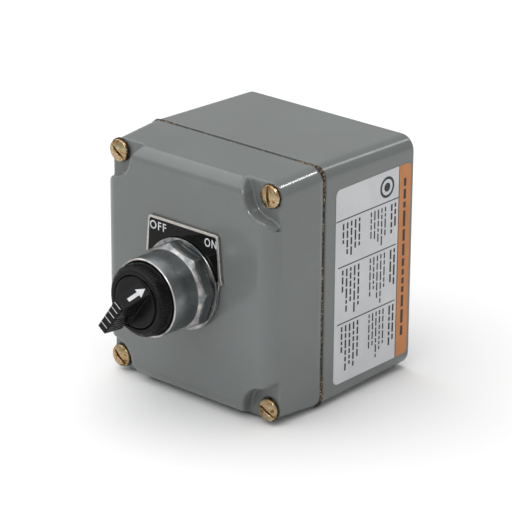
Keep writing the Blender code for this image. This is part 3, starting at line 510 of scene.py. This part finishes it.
def plate(name, outlines, low, high, edge=0.0):
    """Flat piece between two heights in mm; the first outline is its edge and the others are holes."""
    curve = bpy.data.curves.new(name, "CURVE")
    curve.dimensions = "2D"
    curve.fill_mode = "BOTH"
    curve.extrude = (high - low) / 2 - edge
    curve.bevel_depth = edge
    curve.bevel_resolution = 2
    curve.offset = -edge
    for outline in outlines:
        spline = curve.splines.new("POLY")
        spline.points.add(len(outline) - 1)
        for point, (x, y) in zip(spline.points, outline):
            point.co = (x, y, 0.0, 1.0)
        spline.use_cyclic_u = True
    flat = bpy.data.objects.new(name, curve)
    bpy.context.scene.collection.objects.link(flat)
    bpy.context.view_layer.update()
    mesh = bpy.data.meshes.new_from_object(flat.evaluated_get(bpy.context.evaluated_depsgraph_get()))
    bpy.data.objects.remove(flat)
    shape = bmesh.new()
    shape.from_mesh(mesh)
    bmesh.ops.remove_doubles(shape, verts=shape.verts, dist=0.002)
    bmesh.ops.recalc_face_normals(shape, faces=shape.faces)
    shape.to_mesh(mesh)
    shape.free()
    mesh.transform(Matrix.Scale(MM, 4) @ Matrix.Translation((0.0, 0.0, (low + high) / 2)))
    mesh.shade_smooth()
    mesh.set_sharp_from_angle(angle=math.radians(30.0))
    return mesh


def four_corners(corner):
    """Repeats the upper right corner's points, given counterclockwise, at all four corners."""
    points = []
    for side, level in ((1, 1), (-1, 1), (-1, -1), (1, -1)):
        run = [(side * x, level * y) for x, y in corner]
        points += run if side * level > 0 else run[::-1]
    return points


# Enclosure


def to_screw(x, y):
    """Distance across to the nearest corner's screw axis."""
    return np.hypot(np.abs(x) - SCREW[0], np.abs(y) - SCREW[1])


def cover_field(x, y, z):
    """Cover: drafted and rounded, with its screw pockets, bosses, hollow back and holes."""
    share = np.clip(-z / COVER_DEPTH, 0.0, 1.0)
    half_x = FRONT[0] + (SEAM[0] - FRONT[0]) * share
    half_y = FRONT[1] + (SEAM[1] - FRONT[1]) * share
    side = rounded_rectangle(x, y, half_x, half_y, SIDE_ROUND)
    shell = round_max(round_max(side, z, FRONT_ROUND), -COVER_DEPTH - z, COVER_LIP_ROUND)
    in_x, in_y = np.abs(x) - SCREW[0], np.abs(y) - SCREW[1]
    near_x = np.minimum(in_x + POCKET_FLARE * np.maximum(in_y, 0.0), 0.0)
    near_y = np.minimum(in_y + POCKET_FLARE * np.maximum(in_x, 0.0), 0.0)
    wall = (np.hypot(near_x, near_y) - POCKET_RADIUS) * FLARE_SCALE
    pocket = round_max(wall, -POCKET_DEPTH - z, POCKET_FILLET)
    shell = round_max(shell, -pocket, POCKET_RIM)
    hollow = rounded_rectangle(x, y, *CAVITY, CAVITY_ROUND)
    shallow = np.maximum(np.maximum(hollow, POCKET_RADIUS + POCKET_WALL - to_screw(x, y)), z + WALL)
    deep = np.maximum(np.maximum(hollow, COVER_BOSS - to_screw(x, y)), z + POCKET_SHELF)
    shell = np.maximum(shell, -np.minimum(shallow, deep))
    holes = np.minimum(to_screw(x, y) - SCREW_HOLE, np.hypot(x, y) - OPERATOR_HOLE)
    return np.maximum(shell, -holes)


def box_field(x, y, z):
    """Box: drafted, with a boss in each corner, the wiring entry below and the fixing holes."""
    share = np.clip((-z - BOX_FRONT) / (TOTAL_DEPTH - BOX_FRONT), 0.0, 1.0)
    half_x = SEAM[0] + (BACK[0] - SEAM[0]) * share
    half_y = SEAM[1] + (BACK[1] - SEAM[1]) * share
    side = rounded_rectangle(x, y, half_x, half_y, SIDE_ROUND)
    shell = round_max(side, -TOTAL_DEPTH - z, BACK_ROUND)
    shell = round_max(shell, z + BOX_FRONT, BOX_LIP_ROUND)
    hollow = rounded_rectangle(x, y, *CAVITY, CAVITY_ROUND)
    hollow = np.maximum(np.maximum(hollow, BOX_BOSS - to_screw(x, y)), WALL - TOTAL_DEPTH - z)
    mounts = np.hypot(np.abs(x) - MOUNT_SPOT[0], np.abs(y) - MOUNT_SPOT[1]) - MOUNT_HOLE
    mounts = np.maximum(mounts, z + TOTAL_DEPTH - MOUNT_DEPTH)
    screws = np.maximum(to_screw(x, y) - SCREW_HOLE, SCREW_HOLE_END - z)
    entry = np.maximum(np.hypot(x, z + ENTRY_DEPTH) - ENTRY_HOLE, y - ENTRY_END)
    ground = np.hypot(x - GROUND_SPOT[0], y - GROUND_SPOT[1]) - GROUND_HOLE
    ground = np.maximum(ground, GROUND_END - z)
    cut = np.minimum(np.minimum(hollow, mounts), np.minimum(screws, entry))
    return np.maximum(shell, -np.minimum(cut, ground))


def enclosure():
    """The enamelled cover and box, on grids that are finest at their edges, pockets and holes."""
    across = mirrored((17.0, 1.6), (32.5, 3.5), (54.6, 0.6))
    up = mirrored((17.0, 1.6), (38.5, 3.5), (60.2, 0.6))
    deep = stations((-34.1, -33.0, 0.37), (-33.0, -11.0, 2.9), (-11.0, 0.9, 0.55))
    cover = skin("cover_casting", cover_field, (across, up, deep))
    place("cover_casting", cover, "grey_enamel", nodes=("enclosure_cover",))
    across = mirrored((16.0, 1.4), (40.0, 3.0), (54.9, 1.0))
    up = stations((-60.4, -45.0, 1.0), (-45.0, -32.0, 2.0), (-32.0, 45.0, 4.5), (45.0, 60.4, 1.0))
    back = ((-101.1, -95.5, 0.62), (-95.5, -83.0, 2.0))
    deep = stations(*back, (-83.0, -54.0, 1.4), (-54.0, -38.0, 4.0), (-38.0, -34.9, 0.45))
    box = skin("box_casting", box_field, (across, up, deep))
    place("box_casting", box, "grey_enamel", nodes=("enclosure_box",))


def pulled_in(point, pull):
    """Point of the gasket's edge, moved in by pull and, away from the corners, by the castings' lip."""
    lip, lip_start, lip_run = 0.75, 14.0, 4.0
    from_corner = max(SEAM[0] - abs(point[0]), SEAM[1] - abs(point[1]))
    pull += lip * min(max((from_corner - lip_start) / lip_run, 0.0), 1.0)
    return (point[0] - math.copysign(pull, point[0]), point[1] - math.copysign(pull, point[1]))


def gasket():
    """Gasket between the castings, with a grainy cut edge that stands out at the corners."""
    inset, corner_round, grain, ragged, gap = 0.05, 5.5, 0.6, 0.3, 0.15
    outline = []
    half = (SEAM[0] - inset, SEAM[1] - inset)
    corner = arc((half[0] - corner_round, half[1] - corner_round), corner_round, 0.0, 90.0, 14)
    sides = four_corners(corner)
    for i, start in enumerate(sides):
        end = sides[(i + 1) % len(sides)]
        count = max(1, round(math.dist(start, end) / grain))
        for step in range(count):
            share = step / count
            outline.append((start[0] + (end[0] - start[0]) * share, start[1] + (end[1] - start[1]) * share))
    pulls = NOISE.uniform(0.0, ragged, len(outline))
    outline = [pulled_in(point, pull) for point, pull in zip(outline, pulls)]
    edge = (COVER_BOSS**2 - (CAVITY[0] - SCREW[0]) ** 2) ** 0.5
    start = math.degrees(math.atan2(-edge, CAVITY[0] - SCREW[0])) + 360.0
    edge = (COVER_BOSS**2 - (CAVITY[1] - SCREW[1]) ** 2) ** 0.5
    end = math.degrees(math.atan2(CAVITY[1] - SCREW[1], -edge))
    inner = four_corners(arc(SCREW, COVER_BOSS, start, end, 10))
    spots = [(side * SCREW[0], level * SCREW[1]) for side, level, _ in CORNERS.values()]
    holes = [arc(spot, SCREW_HOLE, 0.0, 345.0, 23) for spot in spots]
    mesh = plate("gasket_grain", [outline, inner, *holes], -BOX_FRONT + gap, -COVER_DEPTH - gap)
    place("gasket_grain", mesh, "cork_rubber", nodes=("cover_gasket",))


def screw_field(x, y, z):
    """Domed head with a slot, over a plain shank."""
    edge_round, slot_round, overlap = 0.3, 0.12, 0.4
    dome = z - SCREW_TOP + (x**2 + y**2) * SCREW_CROWN / SCREW_HEAD**2
    radius = np.hypot(x, y)
    head = round_max(radius - SCREW_HEAD, dome * 0.92, edge_round)
    head = np.maximum(head, SCREW_SEAT - z)
    slot = np.maximum(np.abs(y) - SLOT_HALF, SLOT_FLOOR - z)
    head = round_max(head, -slot, slot_round)
    shank = np.maximum(np.maximum(radius - SCREW_SHANK, z - SCREW_SEAT - overlap), SCREW_END - z)
    return np.minimum(head, shank)


def lock_washer():
    """External-tooth lock washer, each of its teeth twisted."""
    steps, thickness, twist = 8, 0.42, 0.5
    hole, root, notch, tip = 2.8, 4.6, 5.0, 5.9
    points, faces = [], []
    count = WASHER_TEETH * steps
    for i in range(count):
        angle = 2 * math.pi * i / count
        phase = (i % steps) / (steps - 2)
        tooth = i % steps < steps - 1
        edge = tip if tooth else notch
        lift = (phase - 0.5) * twist if tooth else 0.0
        front = [(hole, 0.0), (root, 0.0), (edge, lift)]
        back = [(edge, lift - thickness), (root, -thickness), (hole, -thickness)]
        for radius, height in front + back:
            points.append((radius * math.cos(angle), radius * math.sin(angle), WASHER_TOP + height))
    for i in range(count):
        here, there = i * 6, (i + 1) % count * 6
        for j in range(6):
            k = (j + 1) % 6
            faces.append((here + j, there + j, there + k, here + k))
    mesh = mesh_of("lock_washer_teeth", points, faces)
    mesh.set_sharp_from_angle(angle=math.radians(25.0))
    return mesh


def cover_screws():
    """The four slotted screws and their lock washers, each in its pocket."""
    across = stations((-5.8, 5.8, 0.29))
    depth = stations((-52.6, -51.4, 0.4), (-51.4, -7.0, 4.0), (-7.0, -2.9, 0.22))
    head = skin("screw_slotted", screw_field, (across, across, depth))
    washer = lock_washer()
    for index, (corner, (side, level, angle)) in enumerate(CORNERS.items()):
        spot = Matrix.Translation(Vector((side * SCREW[0], level * SCREW[1], 0.0)) * MM)
        turned = head.copy()
        turned.transform(spot @ Matrix.Rotation(math.radians(angle), 4, "Z"))
        nodes = (f"cover_screw_{corner}",)
        place(f"screw_head_{corner}", turned, "yellow_zinc", nodes=nodes)
        turned = washer.copy()
        turned.transform(spot @ Matrix.Rotation(0.3 * index, 4, "Z"))
        place(f"washer_teeth_{corner}", turned, "washer_dark", nodes=(f"lock_washer_{corner}",))


# Side label


def label_point(depth, height, lift):
    """Point on the box's right side, from a depth behind the front, a height and a lift off it."""
    share = (depth - BOX_FRONT) / (TOTAL_DEPTH - BOX_FRONT)
    return (SEAM[0] + (BACK[0] - SEAM[0]) * share + lift, height, -depth)


def label_sheet(name, outlines, low, high, material, nodes=()):
    """Thin layer of the label: outlines of (depth, height) between two lifts off the box's side."""
    flat = plate(name, outlines, low, high)
    for vertex in flat.vertices:
        depth, height, lift = vertex.co / MM
        vertex.co = Vector(label_point(depth, height, lift)) * MM
    flat.flip_normals()
    flat.update()
    return place(name, flat, material, nodes=nodes)


def rectangle(x0, x1, y0, y1):
    """Outline of a plain rectangle."""
    return [(x0, y0), (x1, y0), (x1, y1), (x0, y1)]


def print_marks(depth, top, bottom, size, half_height, longest=8):
    """Row of plain bars, each as long as a word, down a column of the label, that stands for small print."""
    marks = []
    height = top
    while height > bottom:
        length = random.randint(3, longest) * size * 0.34
        if height - length > bottom:
            marks.append(rectangle(depth - half_height, depth + half_height, height - length, height))
        height -= length + size * 0.5
    return marks


def side_label():
    """Label film with a coloured band, dividing lines and bars that stand for small print."""
    near, far, low, high, corner = 42.5, 97.3, -50.3, 46.4, 3.0
    band_near, rule_half = 88.8, 0.28
    film_low, film_high, ink_high, mark_low, mark_high = 0.05, 0.22, 0.24, 0.25, 0.27
    round_top = arc((far - corner, high - corner), corner, 0.0, 90.0, 6)
    round_low = arc((far - corner, low + corner), corner, 270.0, 360.0, 6)
    outline = (
        round_top
        + arc((near + corner, high - corner), corner, 90.0, 180.0, 6)
        + arc((near + corner, low + corner), corner, 180.0, 270.0, 6)
        + round_low
    )
    label_sheet("label_base", [outline], film_low, film_high, "label_film", ("side_label",))
    band = [(band_near, high), (band_near, low), *round_low, *round_top]
    label_sheet("label_band", [band], film_high, mark_low, "label_orange")
    rules = [rectangle(band_near - 0.5, band_near, low, high)]
    for level, start, end in ((31.0, 0.2, 0.7), (8.0, 2.0, 1.6), (-20.3, 2.0, 1.6)):
        rules.append(rectangle(near + start, band_near - end, level - rule_half, level + rule_half))
    marks = print_marks(92.9, 39.4, -45.6, 2.9, 0.9, 9)
    headings = (86.0, 2.7, (0.78, 0.86), 2.0, 0.60)
    advice = (78.6, 2.6, (0.82, 0.98, 0.90, 0.72, 0.80), 1.7, 0.45)
    notes = (59.6, 2.9, (0.86, 0.98, 0.88, 0.92, 0.55), 1.8, 0.56)
    for top, bottom in ((29.0, 9.4), (6.2, -18.8), (-22.0, -48.1)):
        for first, pitch, shares, size, half_height in (headings, advice, notes):
            for row, share in enumerate(shares):
                end = top - (top - bottom) * share
                marks += print_marks(first - pitch * row, top, end, size, half_height)
    label_sheet("label_rules", rules, film_high, ink_high, "label_ink")
    label_sheet("label_print", marks, mark_low, mark_high, "label_ink")
    rings = [arc((79.6, 38.4), radius, 0.0, 350.0, 35) for radius in (5.2, 3.9, 2.2)]
    label_sheet("label_mark", rings, film_high, ink_high, "label_ink")


# Selector


def legend():
    """Legend plate: satin rim, glossy black field and the words of its two positions."""
    lower = arc((0.0, 0.0), 21.6, 1.0, -181.0, 48)
    shoulder = [(22.5, 4.9), *arc((23.5, 5.8), 0.7, -50.0, 60.0, 5), (23.35, 8.6)]
    corner = arc((19.95, 26.9), 1.8, 0.0, 90.0, 6)
    left = [(-x, y) for x, y in (*shoulder, *corner)]
    outline = [*shoulder, *corner, *left[::-1], *lower[::-1]]
    hole = arc((0.0, 0.0), OPERATOR_HOLE, 0.0, 357.0, 119)
    mesh = plate("legend_rim", [outline, hole], 0.3, LEGEND_TOP, 0.25)
    place("legend_rim", mesh, "legend_aluminium", nodes=("legend_plate",))
    corner = arc((19.7, 26.5), 1.0, 5.0, 90.0, 4)
    side = [(22.15, 6.4), *corner]
    left = [(-x, y) for x, y in side]
    under = arc((0.0, 0.0), 20.6, 163.0, 17.0, 40)
    mesh = plate("legend_field", [[*side, *left[::-1], *under]], LEGEND_TOP, LEGEND_TOP + 0.06)
    place("legend_field", mesh, "legend_black")
    word_height, word_lift = 4.1, 0.08
    for word, left_edge, right_edge, base in (("OFF", -20.4, -10.2, 22.2), ("ON", 13.75, 21.0, 22.0)):
        curve = bpy.data.curves.new(f"word_{word}", "FONT")
        curve.body = word
        curve.size = 5.6
        curve.offset = 0.07
        curve.space_character = 1.2
        curve.extrude = 0.02
        text = bpy.data.objects.new(f"word_{word}", curve)
        bpy.context.scene.collection.objects.link(text)
        bpy.context.view_layer.update()
        mesh = bpy.data.meshes.new_from_object(text.evaluated_get(bpy.context.evaluated_depsgraph_get()))
        bpy.data.objects.remove(text)
        xs = [v.co.x for v in mesh.vertices]
        ys = [v.co.y for v in mesh.vertices]
        scale_x = (right_edge - left_edge) / (max(xs) - min(xs))
        scale_y = word_height / (max(ys) - min(ys))
        for vertex in mesh.vertices:
            x = left_edge + (vertex.co.x - min(xs)) * scale_x
            y = base + (vertex.co.y - min(ys)) * scale_y
            vertex.co = (x * MM, y * MM, (LEGEND_TOP + word_lift + vertex.co.z) * MM)
        place(f"legend_word_{word}", mesh, "white_paint")


def nut_and_washer():
    """Chromed thrust washer and eight-sided ring nut with its long collar."""
    inner, outer, low, high = OPERATOR_HOLE, 22.1, 2.1, 3.2
    washer = softened([(inner, high), (outer, high), (outer, low), (inner, low)], 0.25)
    place("washer_turned", lathe("washer_turned", washer), "chrome", nodes=("thrust_washer",))
    sides, first_corner = 8, 5.0
    half, front, corner_front = 19.95, 11.6, 8.7
    corner_radius = half / math.cos(math.pi / sides)
    slope = (front - corner_front) / (corner_radius - COLLAR)

    def section(angle):
        away = (math.degrees(angle) - first_corner) % (360.0 / sides)
        away = min(away, 360.0 / sides - away)
        flat = half / math.cos(math.radians(180.0 / sides - away))
        flat = min(flat, corner_radius - 0.12)
        edge = front - slope * (flat - COLLAR)
        return [
            (15.3, 3.8),
            (flat - 0.25, 3.5),
            (flat, 3.75),
            (flat, edge - 0.25),
            (flat - 0.1, edge + 0.1),
            (COLLAR + 0.25, front - slope * 0.25),
            (COLLAR + 0.05, front + 0.1),
            (COLLAR, front + 0.35),
            (COLLAR, 18.0),
            (COLLAR, RING_FRONT - 0.6),
            (COLLAR - 0.15, RING_FRONT - 0.25),
            (COLLAR - 0.5, RING_FRONT),
            (18.0, RING_FRONT),
            (17.75, RING_FRONT - 0.1),
            (17.65, RING_FRONT - 0.4),
            (17.65, 13.4),
            (17.6, 13.2),
            (15.3, 13.2),
        ]

    mesh = lathe("nut_octagon", section(0.0), 360, section)
    place("nut_octagon", mesh, "chrome", nodes=("ring_nut",))


def bezel():
    """Black ring round the knob, with fine ribs on its sloping edge."""
    ribs = 90

    def section(angle):
        rib = 0.2 * math.copysign(1.0, math.sin(ribs * angle)) - 0.1
        return [
            (12.75, BEZEL_FRONT - 0.3),
            (12.95, BEZEL_FRONT - 0.08),
            (13.2, BEZEL_FRONT),
            (15.0, BEZEL_FRONT),
            (15.25, BEZEL_FRONT - 0.1),
            (15.4 + rib * 0.3, BEZEL_FRONT - 0.28),
            (16.85 + rib, BEZEL_FRONT - 1.8),
            (17.04 + rib, BEZEL_FRONT - 2.5),
            (17.04 + rib, 28.0),
            (17.04, 27.6),
            (17.15, 27.4),
            (17.15, 13.5),
            (12.75, 13.5),
        ]

    mesh = lathe("bezel_ribbed", section(0.0), ribs * 6, section)
    place("bezel_ribbed", mesh, "black_plastic", nodes=("selector_bezel",))


def line_side(along, forward, start, end):
    """Signed distance from a line; positive on the left of the way from its start to its end."""
    run = np.array(end) - np.array(start)
    run = run / np.hypot(*run)
    return (along - start[0]) * -run[1] + (forward - start[1]) * run[0]


def lever_field(x, y, z):
    """Raised lever, without its grip lines: ramp, long top and overhanging tail."""
    ramp_side = line_side(y, z, RAMP_TOP, RAMP_FOOT)
    top_side = line_side(y, z, TAIL_TOP, RAMP_TOP)
    tail_side = line_side(y, z, TAIL_BOTTOM, TAIL_TOP)
    shape = round_max(ramp_side, top_side, 0.7)
    shape = round_max(shape, tail_side, 0.5)
    shape = round_max(shape, TAIL_BOTTOM[1] - z, 0.4)
    rise = np.clip((z - KNOB_FRONT) / LEVER_RISE, 0.0, 1.0)
    low_half = np.interp(y, (-16.4, -2.0, 11.1), (2.7, 3.8, 3.9))
    top_half = np.interp(y, (-16.4, 3.8), (2.5, 3.1))
    half = low_half + (top_half - low_half) * rise
    return round_max(shape, (np.abs(x) - half) * 0.99, 0.35)


def knob_field(x, y, z):
    """Knob: a disc with its lever, and a hub behind that takes the shaft."""
    radius = np.hypot(x, y)
    disc = round_max(radius - KNOB_RADIUS, z - KNOB_FRONT, 0.6)
    disc = np.maximum(disc, KNOB_BACK - z)
    disc = np.minimum(disc, np.maximum(np.maximum(radius - HUB_RADIUS, HUB_BACK - z), z - HUB_FRONT))
    lever = lever_field(x, y, z)
    slant = y - (z - TAIL_TOP[1]) * MARK_SLANT
    skin_deep = -GROOVE_DEPTH - lever
    top_grooves_low, side_grooves_low, side_grooves_in = 45.2, 35.2, 2.0
    for mark in MARKS:
        groove = np.maximum(np.maximum(np.abs(slant - mark) - GROOVE_HALF, skin_deep), top_grooves_low - z)
        lever = np.maximum(lever, -groove)
    for mark in SIDE_MARKS:
        groove = np.maximum(np.maximum(np.abs(slant - mark) - GROOVE_HALF, skin_deep), side_grooves_low - z)
        lever = np.maximum(lever, -np.maximum(groove, side_grooves_in - np.abs(x)))
    foot_half, foot_end, foot_deep = 3.75, -11.4, 2.0
    foot = np.maximum(np.abs(x) - foot_half, line_side(y, z, RAMP_TOP, RAMP_FOOT))
    foot = np.maximum(foot, np.maximum(np.abs(z - KNOB_FRONT + 0.5) - foot_deep, foot_end - y))
    foot = np.maximum(foot, radius - KNOB_RADIUS + 0.3)
    knob = round_min(disc, np.minimum(lever, foot), 0.3)
    bore = np.maximum(radius - BORE_RADIUS, z - BORE_END)
    return np.maximum(knob, -bore)


def knob():
    """The knob with its arrow and the white lines across its grip."""
    across = mirrored((4.4, 0.26), (12.8, 0.7))
    along = stations((-17.0, 12.9, 0.25))
    forward = stations((14.8, 31.5, 1.7), (31.5, 47.2, 0.28))
    mesh = skin("knob_moulded", knob_field, (across, along, forward))
    nodes = ("selector_knob",)
    place("knob_moulded", mesh, "black_plastic", "selector", nodes, LEVER_ANGLE)

    tip, neck, end = -0.2, -4.2, -9.7
    barb, stem, aside = 2.45, 0.9, 0.5
    left = [(0.0, tip), (-barb, neck), (-stem, neck), (-stem, end)]
    outline = left + [(-x, y) for x, y in left[:0:-1]]
    arrow = plate("arrow_inlay", [softened(outline, 0.15, 2)], 0.02, 0.10)
    angle = math.atan2(RAMP_TOP[1] - RAMP_FOOT[1], RAMP_FOOT[0] - RAMP_TOP[0])
    lay = Matrix.Translation(Vector((aside, *RAMP_FOOT)) * MM) @ Matrix.Rotation(-angle, 4, "X")
    arrow.transform(lay)
    place("arrow_inlay", arrow, "white_paint", "selector", ("knob_arrow",), LEVER_ANGLE)

    line_left, line_right, line_half, line_deep, line_lift = -2.7, 1.8, 0.18, 0.14, 0.02
    slope = (TAIL_TOP[1] - RAMP_TOP[1]) / (TAIL_TOP[0] - RAMP_TOP[0])
    for index, mark in enumerate(MARKS):
        top = RAMP_TOP[1] + (mark - RAMP_TOP[0]) * slope
        outline = rectangle(line_left, line_right, mark - line_half, mark + line_half)
        line = plate(f"grip_line_{index}", [outline], top - line_deep, top + line_lift)
        place(f"grip_line_{index}", line, "white_paint", "selector", (), LEVER_ANGLE)


# Pieces inside, which keep the shape that they have in the frame


def inside():
    """Paints every frame piece that is still shown with its own slot's finish."""
    for name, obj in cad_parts.items():
        slots = [material.name.split(".")[0] for material in obj.data.materials if material]
        known = [slot for slot in slots if slot in FINISHES]
        obj.data.materials.clear()
        obj.data.materials.append(FINISHES[known[0] if known else "steel"])


# Stage


LIT_SPOT = Vector((0.0, -0.06, 0.0))


def stage():
    """Plain pale floor, soft lights and the camera."""
    floor_mesh = bpy.data.meshes.new("floor")
    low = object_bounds()[0][2]
    reach = 6.0
    corners = [(-reach, -reach, low), (reach, -reach, low), (reach, reach, low), (-reach, reach, low)]
    floor_mesh.from_pydata(corners, [], [(0, 1, 2, 3)])
    floor = bpy.data.objects.new("floor", floor_mesh)
    bpy.context.scene.collection.objects.link(floor)
    pale = bpy.data.materials.new("floor_pale")
    pale.use_nodes = True
    shader = pale.node_tree.nodes["Principled BSDF"]
    shader.inputs["Base Color"].default_value = (0.93, 0.93, 0.93, 1.0)
    shader.inputs["Roughness"].default_value = 0.9
    floor_mesh.materials.append(pale)
    floor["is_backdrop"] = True

    world = bpy.data.worlds.new("studio")
    bpy.context.scene.world = world
    world.use_nodes = True
    background = world.node_tree.nodes["Background"]
    background.inputs["Color"].default_value = (1.0, 1.0, 1.0, 1.0)
    background.inputs["Strength"].default_value = 0.45
    sun = bpy.data.lights.new("light_sun", "SUN")
    sun.energy = 2.45
    sun.angle = math.radians(90.0)
    lights = [(sun, (-0.28, -0.30, 0.95))]
    for name, spot, size, energy in (
        ("light_cover_edge", (0.49, 0.79, 1.14), 0.16, 3.5),
        ("light_box_edge", (0.35, 1.09, 0.97), 0.25, 1.0),
        ("light_pocket_edges", (0.58, -1.10, 1.00), 0.20, 9.0),
    ):
        gleam = bpy.data.lights.new(name, "AREA")
        gleam.size = size
        gleam.energy = energy
        lights.append((gleam, spot))
    for data, spot in lights:
        light = bpy.data.objects.new(data.name, data)
        bpy.context.scene.collection.objects.link(light)
        light.location = spot
        light.rotation_euler = (LIT_SPOT - Vector(spot)).to_track_quat("-Z", "Y").to_euler()
        light.visible_diffuse = data is sun

    azimuth, elevation, roll = math.radians(41.459), math.radians(21.352), math.radians(0.381)
    target, distance = Vector((0.01597, -0.0696, 0.0082)), 1.2975
    flat = math.cos(elevation)
    back = Vector((math.sin(azimuth) * flat, -math.cos(azimuth) * flat, math.sin(elevation)))
    right = Vector((math.cos(azimuth), math.sin(azimuth), 0.0))
    up = back.cross(right)
    side = right * math.cos(roll) + up * math.sin(roll)
    top = back.cross(side)
    data = bpy.data.cameras.new("camera")
    data.lens = 196.93
    data.sensor_width = 36.0
    data.clip_start = 0.05
    camera = bpy.data.objects.new("camera", data)
    bpy.context.scene.collection.objects.link(camera)
    turn = Matrix((side, top, back)).transposed().to_4x4()
    camera.matrix_world = Matrix.Translation(target + back * distance) @ turn
    bpy.context.scene.camera = camera
    bpy.context.scene.view_settings.view_transform = "Standard"


enclosure()
gasket()
cover_screws()
side_label()
legend()
nut_and_washer()
bezel()
knob()
inside()
stage()
